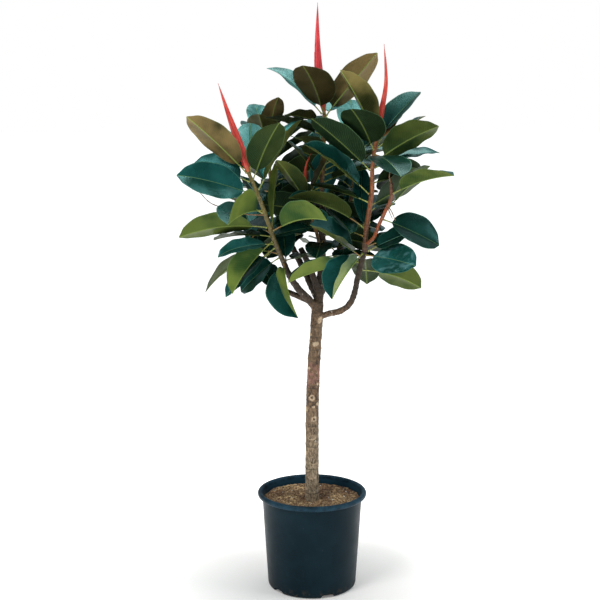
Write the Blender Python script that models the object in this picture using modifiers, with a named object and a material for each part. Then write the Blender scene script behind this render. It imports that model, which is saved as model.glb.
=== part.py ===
"""Potted rubber plant: a standard tree of Ficus elastica in a round plastic nursery pot.

Metres, +Z up. The origin is the centre of the pot's flat underside, on the ground. The plant faces -Y.
Bark, shoots, bud sheaths and leaves each hang on the piece they grow from: shoots start where a
branch ends, a sheath starts where a shoot ends, and a leaf's stalk starts on its shoot's bark.
"""

import math

import bmesh
import bpy
from mathutils import Matrix, Vector

# --- pot -------------------------------------------------------------------------------------
POT_HEIGHT = 0.304
POT_TOP_RADIUS = 0.1555  # outside of the wall, just under the rim
POT_BASE_RADIUS = 0.138  # outside of the wall, just above the bottom corner
POT_WALL = 0.003
POT_FLOOR = 0.004
RIM_DEPTH = 0.017  # height of the rolled rim
RIM_ROLL = 0.0145  # how far the rim stands out from the wall
CORNER = 0.010  # bevel between wall and underside
DRAIN_COUNT = 5
DRAIN_WIDTH = 0.046
DRAIN_HEIGHT = 0.012
DRAIN_FIRST_ANGLE = -69  # degrees round the pot, 0 along +X
POT_STEPS = 48

# --- soil ------------------------------------------------------------------------------------
SOIL_DROP = 0.024  # from the top of the rim down to the soil at the wall
SOIL_DISH = 0.005  # how much lower the soil lies round the trunk

# --- wood ------------------------------------------------------------------------------------
TRUNK_RADIUS = 0.0218  # at the soil
TRUNK_TOP_RADIUS = 0.0175  # at the fork
FORK_HEIGHT = 0.900
FORK_LEAN = 0.016  # the fork stands this far to +X of the pot's centre
ROOT_DEPTH = 0.095  # trunk below the soil
SHOOT_RADIUS = 0.0052  # young green wood
SHEATH_BELLY = 0.22  # how far along a sheath is widest

# --- leaves ----------------------------------------------------------------------------------
BLADE_THICKNESS = 0.0014
STALK_THICKNESS = 0.0036
STALK_WIDTH = 0.0038
TIP_WIDTH = 0.0024
BASE_TAPER = 0.60  # powers that shape the outline: smaller is blunter
TIP_TAPER = 0.66
LEAF_STATIONS = 8  # segments along a leaf: the first is its stalk
LEAF_COLUMNS = 4

CLEARANCE = 0.0003  # between pieces that touch
COLLAR = 0.004  # square foot of a shoot or a sheath
TUBE_STEPS = 4  # segments between two points of a stem's route

COLOURS = {
    "pot_plastic": ((0.012, 0.028, 0.036, 1), 0.45),
    "soil": ((0.16, 0.095, 0.05, 1), 0.95),
    "bark": ((0.15, 0.105, 0.07, 1), 0.85),
    "young_bark": ((0.28, 0.17, 0.05, 1), 0.6),
    "sheath": ((0.72, 0.05, 0.04, 1), 0.4),
    "leaf": ((0.02, 0.075, 0.045, 1), 0.3),
}

# Woody branches, from the fork. Each row: route points (x, y, z from the fork), start and end radius.
BRANCHES = {
    "left_branch": (
        [(-0.002, 0, -0.022), (-0.030, -0.015, 0.012), (-0.060, -0.040, 0.048),
         (-0.085, -0.068, 0.090), (-0.101, -0.090, 0.131)],
        0.0130, 0.0085,
    ),
    "leader": (
        [(0, 0, -0.010), (0.010, 0.015, 0.065), (0.014, 0.028, 0.140), (0.014, 0.030, 0.217),
         (0.013, 0.020, 0.294)],
        0.0150, 0.0080,
    ),
    "right_branch": (
        [(0.001, 0, -0.048), (0.038, -0.018, -0.032), (0.070, -0.034, -0.022), (0.096, -0.046, 0.001),
         (0.110, -0.055, 0.036), (0.118, -0.062, 0.079), (0.128, -0.070, 0.126), (0.138, -0.080, 0.165)],
        0.0095, 0.0085,
    ),
    "low_left_branch": (
        [(0, 0, -0.012), (-0.040, 0.024, 0.006), (-0.088, 0.050, 0.022), (-0.141, 0.068, 0.050),
         (-0.186, 0.072, 0.110), (-0.214, 0.064, 0.174)],
        0.0100, 0.0065,
    ),
    "back_left_branch": (
        [(0, 0.004, 0.010), (-0.042, 0.070, 0.090), (-0.088, 0.125, 0.176), (-0.123, 0.160, 0.260)],
        0.0115, 0.0075,
    ),
    "back_right_branch": (
        [(0.004, 0.004, 0.014), (0.044, 0.062, 0.096), (0.079, 0.115, 0.172), (0.100, 0.150, 0.261)],
        0.0115, 0.0075,
    ),
    "pruned_stub": (
        [(0.004, 0, 0.020), (-0.014, -0.008, 0.080), (-0.032, -0.014, 0.125), (-0.052, -0.020, 0.168)],
        0.0105, 0.0085,
    ),
}

# Young shoots. Each row: the branch it grows from, then its points from the fork. The first point of a
# shoot that ends a branch is that branch's end; one that starts on a branch's side leaves a clearance.
SHOOTS = {
    "left_shoot": (
        "left_branch",
        [(-0.122, -0.100, 0.180), (-0.140, -0.110, 0.231), (-0.154, -0.120, 0.276),
         (-0.170, -0.130, 0.321), (-0.190, -0.135, 0.371), (-0.203, -0.135, 0.402)],
    ),
    "top_shoot": (
        "leader",
        [(0.013, 0.010, 0.370), (0.015, 0.000, 0.445), (0.019, -0.005, 0.520), (0.018, -0.005, 0.573)],
    ),
    "right_shoot": (
        "right_branch",
        [(0.142, -0.088, 0.235), (0.152, -0.100, 0.304), (0.157, -0.110, 0.354), (0.156, -0.120, 0.413),
         (0.162, -0.125, 0.465), (0.171, -0.125, 0.511)],
    ),
    "back_left_shoot": (
        "back_left_branch",
        [(-0.142, 0.170, 0.345), (-0.154, 0.172, 0.423), (-0.160, 0.168, 0.485)],
    ),
    "back_right_shoot": (
        "back_right_branch",
        [(0.113, 0.165, 0.345), (0.119, 0.170, 0.423), (0.121, 0.167, 0.491)],
    ),
}

# Side shoots: the branch they stand on, how far along it (0 to 1), then their points from the fork.
SIDE_SHOOTS = {
    "side_shoot": (
        "right_shoot", 0.06,
        [(0.164, -0.116, 0.212), (0.178, -0.138, 0.255), (0.198, -0.152, 0.300), (0.209, -0.160, 0.332),
         (0.208, -0.162, 0.372)],
    ),
    "middle_shoot": (
        "leader", 0.58,
        [(-0.010, -0.020, 0.236), (-0.027, -0.040, 0.292), (-0.035, -0.050, 0.335)],
    ),
}

# Red bud sheaths: the shoot they end, their widest radius, then their points from the fork.
SHEATHS = {
    "top_sheath": ("top_shoot", 0.0150, [(0.004, -0.010, 0.666), (-0.002, -0.010, 0.768), (-0.002, 0, 0.890)]),
    "left_sheath": ("left_shoot", 0.0136, [(-0.232, -0.130, 0.490), (-0.262, -0.120, 0.574), (-0.290, -0.100, 0.655)]),
    "right_sheath": ("right_shoot", 0.0088, [(0.181, -0.125, 0.579), (0.193, -0.120, 0.659), (0.188, -0.100, 0.766)]),
    "middle_sheath": ("middle_shoot", 0.0062, [(-0.039, -0.056, 0.388), (-0.034, -0.054, 0.423), (-0.021, -0.045, 0.452)]),
}

# One row a leaf: what it grows on, how far along (0 to 1), heading and pitch of its chord in degrees
# (heading 0 is +X and 90 is +Y, pitch is above the horizon), roll about the chord (0 is glossy side up),
# stalk, blade length and width in metres, and in degrees how far it droops, folds and curls at its tip.
LEAVES = {
    "top_leaf_1": ("top_shoot", 0.98, 249, 38, 0, 0.030, 0.190, 0.125, 20, 10, 0),
    "top_leaf_2": ("top_shoot", 0.97, 167, 41, -15, 0.030, 0.190, 0.110, 20, 15, 20),
    "top_leaf_3": ("top_shoot", 0.95, 338, 49, -35, 0.030, 0.210, 0.110, 15, 10, 0),
    "top_leaf_4": ("top_shoot", 0.91, 63, 27, 0, 0.030, 0.170, 0.110, 30, 10, 0),
    "top_leaf_5": ("top_shoot", 0.85, 220, 10, 20, 0.030, 0.115, 0.075, 20, 15, 0),
    "right_leaf_1": ("right_shoot", 0.98, 220, 53, 0, 0.030, 0.200, 0.110, 10, 30, 0),
    "right_leaf_2": ("right_shoot", 0.84, 245, 35, 0, 0.030, 0.175, 0.130, 15, 10, 0),
    "right_leaf_3": ("right_shoot", 0.96, 18, 46, 15, 0.030, 0.155, 0.115, 20, 20, 0),
    "right_leaf_4": ("right_shoot", 0.74, 345, 29, -40, 0.030, 0.180, 0.125, 20, 15, 0),
    "right_leaf_5": ("right_shoot", 0.68, 12, 13, 15, 0.030, 0.175, 0.090, 20, 15, 10),
    "right_leaf_6": ("side_shoot", 0.86, 320, 16, -5, 0.030, 0.185, 0.105, 25, 28, 0),
    "right_leaf_7": ("right_shoot", 0.80, 291, -17, 0, 0.030, 0.155, 0.120, 30, 8, 0),
    "right_leaf_8": ("side_shoot", 0.60, 8, 45, -20, 0.035, 0.140, 0.115, 10, 20, 0),
    "right_leaf_9": ("right_shoot", 0.66, 208, 38, 20, 0.035, 0.210, 0.120, 15, 15, 0),
    "right_leaf_10": ("right_shoot", 0.46, 190, 37, -30, 0.040, 0.205, 0.105, 15, 30, 0),
    "right_leaf_11": ("right_shoot", 0.06, 96, 73, 0, 0.070, 0.175, 0.085, 5, 45, 0),
    "left_leaf_1": ("left_shoot", 0.99, 205, 42, 35, 0.035, 0.210, 0.110, 15, 15, 0),
    "left_leaf_2": ("left_shoot", 0.97, 92, 47, 0, 0.030, 0.165, 0.100, 15, 15, 0),
    "left_leaf_3": ("left_shoot", 0.88, 302, 48, -10, 0.030, 0.190, 0.105, 15, 10, 0),
    "left_leaf_4": ("left_shoot", 0.76, 18, 57, 0, 0.035, 0.205, 0.090, 10, 45, 0),
    "left_leaf_5": ("left_shoot", 0.90, 140, 45, 0, 0.030, 0.175, 0.100, 20, 20, 0),
    "left_leaf_6": ("left_shoot", 0.74, 193, 15, -60, 0.035, 0.200, 0.115, 10, 15, 10),
    "left_leaf_7": ("left_shoot", 0.54, 165, 17, 5, 0.030, 0.200, 0.080, 25, 15, 0),
    "left_leaf_8": ("left_shoot", 0.58, 245, -6, 25, 0.035, 0.180, 0.145, 25, 50, 0),
    "left_leaf_9": ("left_shoot", 0.39, 174, -7, 40, 0.045, 0.225, 0.115, 35, 15, 0),
    "left_leaf_10": ("left_shoot", 0.26, 215, -46, 45, 0.035, 0.165, 0.120, 25, 50, 0),
    "left_leaf_11": ("left_shoot", 0.10, 165, -42, -45, 0.025, 0.135, 0.110, 25, 15, 0),
    "left_leaf_12": ("low_left_branch", 0.89, 229, -25, 50, 0.030, 0.190, 0.100, 25, 15, 0),
    "left_leaf_13": ("left_shoot", 0.03, 288, -45, 72, 0.018, 0.180, 0.130, 20, 58, 0),
    "left_leaf_14": ("left_branch", 0.90, 97, 49, 0, 0.030, 0.145, 0.080, 10, 35, 0),
    "left_leaf_15": ("left_shoot", 0.34, 81, 64, -95, 0.030, 0.195, 0.080, 10, 10, 0),
    "middle_leaf_1": ("left_shoot", 0.35, 328, 12, -20, 0.030, 0.160, 0.125, 40, 45, 0),
    "middle_leaf_2": ("right_shoot", 0.20, 195, 22, 5, 0.050, 0.200, 0.120, 35, 35, 0),
    "middle_leaf_3": ("right_branch", 0.94, 212, 30, -35, 0.035, 0.170, 0.120, 10, 35, 0),
    "middle_leaf_4": ("right_branch", 0.98, 232, -38, 12, 0.028, 0.165, 0.130, 20, 55, 0),
    "middle_leaf_5": ("right_branch", 0.87, 190, -15, 8, 0.040, 0.180, 0.110, 20, 43, 0),
    "middle_leaf_6": ("middle_shoot", 0.84, 226, 46, 0, 0.020, 0.155, 0.090, 15, 15, 0),
    "middle_leaf_7": ("middle_shoot", 0.93, 345, 62, 0, 0.020, 0.135, 0.070, 10, 15, 0),
    "low_right_leaf_1": ("right_branch", 0.97, 318, -5, 40, 0.030, 0.155, 0.120, 15, 5, 0),
    "low_right_leaf_2": ("right_branch", 0.80, 10, -18, -45, 0.055, 0.140, 0.110, 35, 10, 0),
    "low_right_leaf_3": ("side_shoot", 0.48, 5, -25, 40, 0.025, 0.158, 0.130, 15, 15, 0),
    "back_left_leaf_1": ("back_left_shoot", 0.97, 286, 45, 0, 0.030, 0.165, 0.070, 15, 10, 0),
    "back_left_leaf_2": ("back_left_shoot", 0.88, 262, 37, 0, 0.030, 0.145, 0.100, 15, 10, 0),
    "back_left_leaf_3": ("back_left_shoot", 0.80, 110, 25, 0, 0.030, 0.190, 0.110, 30, 15, 0),
    "back_right_leaf_1": ("back_right_shoot", 0.95, 95, 42, 0, 0.030, 0.165, 0.110, 20, 15, 0),
    "back_right_leaf_2": ("back_right_shoot", 0.70, 50, 20, 0, 0.030, 0.190, 0.120, 30, 15, 0),
}


# --- helpers ---------------------------------------------------------------------------------
def clear_scene():
    for obj in list(bpy.data.objects):
        bpy.data.objects.remove(obj, do_unlink=True)


def new_collection(name):
    collection = bpy.data.collections.new(name)
    bpy.context.scene.collection.children.link(collection)
    return collection


def material(name):
    """One Principled BSDF for each colour, made once."""
    if name in bpy.data.materials:
        return bpy.data.materials[name]
    colour, roughness = COLOURS[name]
    made = bpy.data.materials.new(name)
    made.use_nodes = True
    shader = made.node_tree.nodes["Principled BSDF"]
    shader.inputs["Base Color"].default_value = colour
    shader.inputs["Roughness"].default_value = roughness
    shader.inputs["Metallic"].default_value = 0
    made.diffuse_color = colour
    return made


def add_mesh(name, mesh, material_name):
    obj = bpy.data.objects.new(name, mesh)
    PLANT.objects.link(obj)
    mesh.materials.append(material(material_name))
    return obj


def smooth(mesh, angle=40):
    mesh.shade_smooth()
    mesh.set_sharp_from_angle(angle=math.radians(angle))


def make_cutter(obj):
    """Takes a Boolean's operand out of the model."""
    for collection in list(obj.users_collection):
        collection.objects.unlink(obj)
    CUTTERS.objects.link(obj)
    obj.hide_render = True
    obj.display_type = "WIRE"
    return obj


def boolean(obj, other, operation):
    modifier = obj.modifiers.new(operation.lower(), "BOOLEAN")
    modifier.operation = operation
    modifier.object = make_cutter(other)
    return modifier


def turned(name, profile, steps, material_name):
    """A solid of revolution about Z from (radius, height) points that run up inside and down outside."""
    mesh = bpy.data.meshes.new(name)
    points = [(radius, 0, height) for radius, height in profile]
    mesh.from_pydata(points, [(i, i + 1) for i in range(len(points) - 1)], [])
    obj = add_mesh(name, mesh, material_name)
    screw = obj.modifiers.new("turn", "SCREW")
    screw.axis = "Z"
    screw.steps = screw.render_steps = steps
    screw.use_merge_vertices = True
    screw.merge_threshold = 0.0001
    screw.use_smooth_shade = True
    return obj


def curve_through(points, steps=TUBE_STEPS):
    """Points of a smooth Catmull-Rom curve through these points."""
    points = [Vector(p) for p in points]
    ends = [2 * points[0] - points[1]] + points + [2 * points[-1] - points[-2]]
    found = []
    for a, b, c, d in zip(ends, ends[1:], ends[2:], ends[3:]):
        for i in range(steps):
            t = i / steps
            found.append(
                0.5 * (2 * b + (c - a) * t + (2 * a - 5 * b + 4 * c - d) * t**2 + (3 * b - a - 3 * c + d) * t**3)
            )
    return found + [points[-1]]


def tube(name, route, radii, material_name, sides=8):
    """A round tube along a route, as a curve object with filled caps."""
    curve = bpy.data.curves.new(name, "CURVE")
    curve.dimensions = "3D"
    curve.bevel_depth = 1
    curve.bevel_resolution = (sides - 4) // 2
    curve.use_fill_caps = True
    spline = curve.splines.new("POLY")
    spline.points.add(len(route) - 1)
    for point, place, radius in zip(spline.points, route, radii):
        point.co = (*place, 1)
        point.radius = radius
    spline.use_smooth = True
    obj = bpy.data.objects.new(name, curve)
    PLANT.objects.link(obj)
    curve.materials.append(material(material_name))
    return obj


def as_mesh(obj):
    """Replaces a curve object by a mesh object with welded caps, which a Boolean can take."""
    name = obj.name
    obj.name = name + "_curve"
    bpy.context.view_layer.update()
    graph = bpy.context.evaluated_depsgraph_get()
    mesh = bpy.data.meshes.new_from_object(obj.evaluated_get(graph))
    mesh.name = name
    bm = bmesh.new()
    bm.from_mesh(mesh)
    bmesh.ops.remove_doubles(bm, verts=bm.verts, dist=0.00001)
    bmesh.ops.recalc_face_normals(bm, faces=bm.faces)
    bm.to_mesh(mesh)
    bm.free()
    made = bpy.data.objects.new(name, mesh)
    PLANT.objects.link(made)
    made.matrix_world = obj.matrix_world
    bpy.data.objects.remove(obj)
    return made


class Stem:
    """A stem's smooth centre line and its radius along it, for what grows on it."""

    def __init__(self, points, start_radius, end_radius):
        self.route = curve_through(points)
        self.radii = [
            start_radius + (end_radius - start_radius) * i / (len(self.route) - 1)
            for i in range(len(self.route))
        ]

    def at(self, share):
        """(point, direction, radius) this far along, from 0 to 1."""
        place = min(max(share, 0), 1) * (len(self.route) - 1)
        i = min(int(place), len(self.route) - 2)
        point = self.route[i].lerp(self.route[i + 1], place - i)
        direction = (self.route[i + 1] - self.route[i]).normalized()
        radius = self.radii[i] + (self.radii[i + 1] - self.radii[i]) * (place - i)
        return point, direction, radius


def stand_off(stem, share, towards, thickness):
    """Where a stalk of this thickness starts on a stem's bark, leaving the clearance."""
    point, along, radius = stem.at(share)
    out = towards - along * towards.dot(along)
    out.normalize()
    tilt = abs(towards.dot(along))
    return point + out * (radius + CLEARANCE + tilt * thickness / 2)


# --- pot and soil ----------------------------------------------------------------------------
def wall_radius(height):
    """Outside radius of the pot's wall."""
    share = (height - CORNER) / (POT_HEIGHT - RIM_DEPTH - CORNER)
    return POT_BASE_RADIUS + (POT_TOP_RADIUS - POT_BASE_RADIUS) * share


def make_pot():
    rim_low = POT_HEIGHT - RIM_DEPTH
    rim_mid = POT_HEIGHT - RIM_DEPTH / 2
    edge = POT_TOP_RADIUS + RIM_ROLL
    inside = [
        (0, POT_FLOOR),
        (POT_BASE_RADIUS - POT_WALL - CORNER / 2, POT_FLOOR),
        (wall_radius(CORNER + POT_FLOOR) - POT_WALL, POT_FLOOR + CORNER / 2),
        (wall_radius(rim_low) - POT_WALL, rim_low),
        (edge - RIM_ROLL * 0.93, rim_mid + RIM_DEPTH * 0.25),
    ]
    rim = [
        (edge - RIM_ROLL * 0.72, POT_HEIGHT - RIM_DEPTH * 0.04),
        (edge - RIM_ROLL * 0.42, POT_HEIGHT),
        (edge - RIM_ROLL * 0.14, POT_HEIGHT - RIM_DEPTH * 0.14),
        (edge, rim_mid),
        (edge - RIM_ROLL * 0.14, rim_low + RIM_DEPTH * 0.14),
        (edge - RIM_ROLL * 0.42, rim_low),
    ]
    outside = [
        (wall_radius(rim_low), rim_low),
        (wall_radius(CORNER), CORNER),
        (POT_BASE_RADIUS - CORNER * 0.35, CORNER * 0.3),
        (POT_BASE_RADIUS - CORNER, 0),
        (0, 0),
    ]
    pot = turned("pot", inside + rim + outside, POT_STEPS, "pot_plastic")
    for i in range(DRAIN_COUNT):
        boolean(pot, make_drain_cutter(i), "DIFFERENCE")
    return pot


def make_drain_cutter(index):
    """A block with rounded upper corners that opens the bottom corner of the pot."""
    reach = 0.030
    bpy.ops.mesh.primitive_cube_add(size=1)
    cutter = bpy.context.object
    cutter.name = f"drain_cutter_{index + 1}"
    cutter.data.transform(Matrix.Diagonal((2 * reach, DRAIN_WIDTH, 2 * DRAIN_HEIGHT, 1)))
    bevel = cutter.modifiers.new("corners", "BEVEL")
    bevel.width = DRAIN_HEIGHT * 0.6
    bevel.segments = 2
    angle = math.radians(DRAIN_FIRST_ANGLE + index * 360 / DRAIN_COUNT)
    distance = POT_BASE_RADIUS + reach / 3
    cutter.location = (distance * math.cos(angle), distance * math.sin(angle), 0)
    cutter.rotation_euler = (0, 0, angle)
    return cutter


def make_soil():
    top = POT_HEIGHT - SOIL_DROP
    hole = TRUNK_RADIUS + CLEARANCE
    floor = POT_FLOOR + CLEARANCE
    fit = POT_WALL + 2 * CLEARANCE
    profile = [
        (0, top - ROOT_DEPTH - CLEARANCE),
        (hole, top - ROOT_DEPTH - CLEARANCE),
        (hole, top - SOIL_DISH),
        (hole + 0.03, top - SOIL_DISH * 0.4),
        (wall_radius(top) * 0.6, top),
        (wall_radius(top) - fit, top - 0.001),
        (wall_radius(CORNER + POT_FLOOR) - fit, POT_FLOOR + CORNER * 0.6),
        (POT_BASE_RADIUS - POT_WALL - CORNER * 0.6, floor),
        (0, floor),
    ]
    return turned("soil", profile, POT_STEPS, "soil")


# --- wood ------------------------------------------------------------------------------------
def from_fork(points):
    """Points given from the fork, in the model's frame."""
    return [Vector((FORK_LEAN, 0, FORK_HEIGHT)) + Vector(p) for p in points]


def make_trunk():
    """The trunk with its woody branches, one solid as it grew."""
    soil_top = POT_HEIGHT - SOIL_DROP
    rise = FORK_HEIGHT - soil_top
    lean = [(0, 0), (0.3, 0), (0.5, 0.06), (0.7, 0.35), (0.88, 0.80), (1, 1.03)]
    points = [(0, 0, soil_top - ROOT_DEPTH), (0, 0, soil_top)]
    points += [(FORK_LEAN * x, 0, soil_top + rise * up) for up, x in lean[1:]]
    stem = Stem(points, TRUNK_RADIUS, TRUNK_TOP_RADIUS)
    below = [i for i, p in enumerate(stem.route) if p.z <= soil_top + 0.01]
    for i in below:
        stem.radii[i] = TRUNK_RADIUS
    trunk = as_mesh(tube("trunk", stem.route, stem.radii, "bark", 12))
    for name, (points, start, end) in BRANCHES.items():
        STEMS[name] = Stem(from_fork(points), start, end)
        branch = as_mesh(tube(name, STEMS[name].route, STEMS[name].radii, "bark"))
        boolean(trunk, branch, "UNION")
    return trunk


def make_shoot(name, points, along, start_radius):
    """A shoot whose first few millimetres stand square on the wood it grows from."""
    stem = STEMS[name] = Stem(points, start_radius, SHOOT_RADIUS)
    stem.route.insert(1, stem.route[0] + along * COLLAR)
    stem.radii.insert(1, start_radius)
    return tube(name, stem.route, stem.radii, "young_bark")


def make_shoots():
    for name, (branch, points) in SHOOTS.items():
        end, along, radius = STEMS[branch].at(1)
        make_shoot(name, [end + along * CLEARANCE] + from_fork(points), along, radius * 0.9)
    for name, (branch, share, points) in SIDE_SHOOTS.items():
        points = from_fork(points)
        towards = (points[0] - STEMS[branch].at(share)[0]).normalized()
        start = stand_off(STEMS[branch], share, towards, 2 * SHOOT_RADIUS)
        make_shoot(name, [start] + points, towards, SHOOT_RADIUS)


def make_sheaths():
    for name, (shoot, widest, points) in SHEATHS.items():
        end, along, radius = STEMS[shoot].at(1)
        route = curve_through([end + along * CLEARANCE] + from_fork(points), 5)
        route.insert(1, route[0] + along * COLLAR)
        shares = [i / (len(route) - 1) for i in range(len(route))]
        radii = [
            radius + (widest - radius) * share / SHEATH_BELLY
            if share < SHEATH_BELLY
            else max(0.0008, widest * ((1 - share) / (1 - SHEATH_BELLY)) ** 0.85)
            for share in shares
        ]
        tube(name, route, radii, "sheath")


# --- leaves ----------------------------------------------------------------------------------
def leaf_outline(share):
    """Half the width of a blade, as a part of half its greatest width."""
    widest = BASE_TAPER / (BASE_TAPER + TIP_TAPER)
    here, most = (s**BASE_TAPER * (1 - s) ** TIP_TAPER for s in (share, widest))
    return here / most


def leaf_midrib(stalk, length, droop, curl):
    """(distance, x, z, slope) at each station of a leaf that starts along +X."""
    total = stalk + length
    blades = LEAF_STATIONS - 1
    marks = [0] + [stalk + length * (1 - math.cos(math.pi * i / blades)) / 2 for i in range(blades + 1)]
    found, x, z, done = [], 0, 0, 0
    for mark in marks:
        fine = 8
        step = (mark - done) / fine
        for i in range(fine):
            share = (done + (i + 0.5) * step) / total
            slope = droop * (0.5 - share) - curl * max(0, share / 0.4 - 1.5) ** 2
            x += step * math.cos(slope)
            z += step * math.sin(slope)
        done = mark
        share = mark / total
        slope = droop * (0.5 - share) - curl * max(0, share / 0.4 - 1.5) ** 2
        found.append((mark, x, z, slope))
    return found


def leaf_mesh(name, stalk, length, width, droop, fold, curl):
    """A grid bent into a leaf: stalk first, then the blade, folded up along its midrib."""
    droop, fold, curl = (math.radians(angle) for angle in (droop, fold, curl))
    midrib = leaf_midrib(stalk, length, droop, curl)
    bm = bmesh.new()
    weights = bm.verts.layers.deform.verify()
    bmesh.ops.create_grid(bm, x_segments=LEAF_STATIONS, y_segments=LEAF_COLUMNS, size=0.5)
    for vert in bm.verts:
        station = round((vert.co.x + 0.5) * LEAF_STATIONS)
        across = vert.co.y * 2
        mark, x, z, slope = midrib[station]
        share = (mark - stalk) / length
        if share <= 0:
            half, lift = STALK_WIDTH / 2, 0
        else:
            half = max(TIP_WIDTH / 2, width / 2 * leaf_outline(min(share, 1)))
            lift = fold
        side = half * across * math.cos(lift)
        up = half * abs(across) * math.sin(lift)
        vert.co = (x - up * math.sin(slope), side, z + up * math.cos(slope))
        vert[weights][0] = 1 if share <= 0 else BLADE_THICKNESS / STALK_THICKNESS
    mesh = bpy.data.meshes.new(name)
    bm.to_mesh(mesh)
    bm.free()
    smooth(mesh, 60)
    return mesh


def make_leaf(name, row):
    stem, share, heading, pitch, roll, stalk, length, width, droop, fold, curl = row
    obj = add_mesh(name, leaf_mesh(name, stalk, length, width, droop, fold, curl), "leaf")
    obj.vertex_groups.new(name="thickness")
    solidify = obj.modifiers.new("thickness", "SOLIDIFY")
    solidify.thickness = STALK_THICKNESS
    solidify.offset = 0
    solidify.vertex_group = "thickness"
    obj.rotation_euler = (math.radians(roll), -math.radians(pitch), math.radians(heading))
    first_slope = Matrix.Rotation(-math.radians(droop) / 2, 3, "Y")
    towards = obj.rotation_euler.to_matrix() @ first_slope @ Vector((1, 0, 0))
    obj.location = stand_off(STEMS[stem], share, towards, STALK_THICKNESS)
    return obj


clear_scene()
PLANT = new_collection("potted_rubber_plant")
CUTTERS = new_collection("cutters")
STEMS = {}
make_pot()
make_soil()
make_trunk()
make_shoots()
make_sheaths()
for leaf_name, leaf_row in LEAVES.items():
    make_leaf(leaf_name, leaf_row)
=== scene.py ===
"""Looks of a potted rubber plant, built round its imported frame. Metres, +Z up, the plant faces -Y."""

import math
import random

import bmesh
import bpy
import numpy as np
from mathutils import Matrix, Vector, noise
from mathutils.bvhtree import BVHTree


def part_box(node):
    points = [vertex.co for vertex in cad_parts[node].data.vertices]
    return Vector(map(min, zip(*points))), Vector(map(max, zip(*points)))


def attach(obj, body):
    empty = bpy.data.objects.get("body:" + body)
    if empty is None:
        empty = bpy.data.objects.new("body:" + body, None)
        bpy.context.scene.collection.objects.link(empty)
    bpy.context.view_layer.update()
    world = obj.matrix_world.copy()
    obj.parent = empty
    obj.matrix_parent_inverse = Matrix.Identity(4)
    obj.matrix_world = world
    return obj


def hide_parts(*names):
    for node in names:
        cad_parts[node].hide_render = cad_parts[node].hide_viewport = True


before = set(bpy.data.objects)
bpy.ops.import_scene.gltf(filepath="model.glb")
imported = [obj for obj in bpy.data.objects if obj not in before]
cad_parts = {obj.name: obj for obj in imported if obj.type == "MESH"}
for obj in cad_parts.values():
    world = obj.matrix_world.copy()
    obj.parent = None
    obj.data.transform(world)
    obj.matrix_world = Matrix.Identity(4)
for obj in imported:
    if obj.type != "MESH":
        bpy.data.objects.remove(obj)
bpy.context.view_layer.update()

# --- sizes shared with the CAD ---------------------------------------------------------------
_, POT_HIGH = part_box("pot")
SOIL_LOW, SOIL_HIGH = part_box("soil")
POT_HEIGHT = POT_HIGH.z
POT_RIM_RADIUS = POT_HIGH.x
POT_TOP_RADIUS = 0.1555
POT_BASE_RADIUS = 0.138
POT_WALL = 0.003
RIM_DEPTH = 0.017
CORNER = 0.010
DRAIN_COUNT = 5
DRAIN_WIDTH = 0.046
DRAIN_HEIGHT = 0.012
DRAIN_FIRST_ANGLE = -69
FORK = Vector((0.016, 0, 0.900))
SHOOT_RADIUS = 0.0052
SHEATH_BELLY = 0.22
CLEARANCE = 0.0003
COLLAR = 0.004
TUBE_STEPS = 4
BASE_TAPER, TIP_TAPER = 0.60, 0.66
STALK_THICKNESS = 0.0036

BRANCHES = {
    "left_branch": (
        [(-0.002, 0, -0.022), (-0.030, -0.015, 0.012), (-0.060, -0.040, 0.048),
         (-0.085, -0.068, 0.090), (-0.101, -0.090, 0.131)], 0.0130, 0.0085),
    "leader": (
        [(0, 0, -0.010), (0.010, 0.015, 0.065), (0.014, 0.028, 0.140), (0.014, 0.030, 0.217),
         (0.013, 0.020, 0.294)], 0.0150, 0.0080),
    "right_branch": (
        [(0.001, 0, -0.048), (0.038, -0.018, -0.032), (0.070, -0.034, -0.022), (0.096, -0.046, 0.001),
         (0.110, -0.055, 0.036), (0.118, -0.062, 0.079), (0.128, -0.070, 0.126), (0.138, -0.080, 0.165)],
        0.0095, 0.0085),
    "low_left_branch": (
        [(0, 0, -0.012), (-0.040, 0.024, 0.006), (-0.088, 0.050, 0.022), (-0.141, 0.068, 0.050),
         (-0.186, 0.072, 0.110), (-0.214, 0.064, 0.174)], 0.0100, 0.0065),
    "back_left_branch": (
        [(0, 0.004, 0.010), (-0.042, 0.070, 0.090), (-0.088, 0.125, 0.176), (-0.123, 0.160, 0.260)],
        0.0115, 0.0075),
    "back_right_branch": (
        [(0.004, 0.004, 0.014), (0.044, 0.062, 0.096), (0.079, 0.115, 0.172), (0.100, 0.150, 0.261)],
        0.0115, 0.0075),
}
# The branch each shoot ends, its points from the fork, and how red its skin is.
SHOOTS = {
    "left_shoot": (
        "left_branch",
        [(-0.122, -0.100, 0.180), (-0.140, -0.110, 0.231), (-0.154, -0.120, 0.276),
         (-0.170, -0.130, 0.321), (-0.190, -0.135, 0.371), (-0.203, -0.135, 0.402)], 0.15),
    "top_shoot": (
        "leader",
        [(0.013, 0.010, 0.370), (0.015, 0.000, 0.445), (0.019, -0.005, 0.520), (0.018, -0.005, 0.573)],
        0.45),
    "right_shoot": (
        "right_branch",
        [(0.142, -0.088, 0.235), (0.152, -0.100, 0.304), (0.157, -0.110, 0.354), (0.156, -0.120, 0.413),
         (0.162, -0.125, 0.465), (0.171, -0.125, 0.511)], 0.85),
    "back_left_shoot": (
        "back_left_branch", [(-0.142, 0.170, 0.345), (-0.154, 0.172, 0.423), (-0.160, 0.168, 0.485)], 0.3),
    "back_right_shoot": (
        "back_right_branch", [(0.113, 0.165, 0.345), (0.119, 0.170, 0.423), (0.121, 0.167, 0.491)], 0.4),
}
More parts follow.
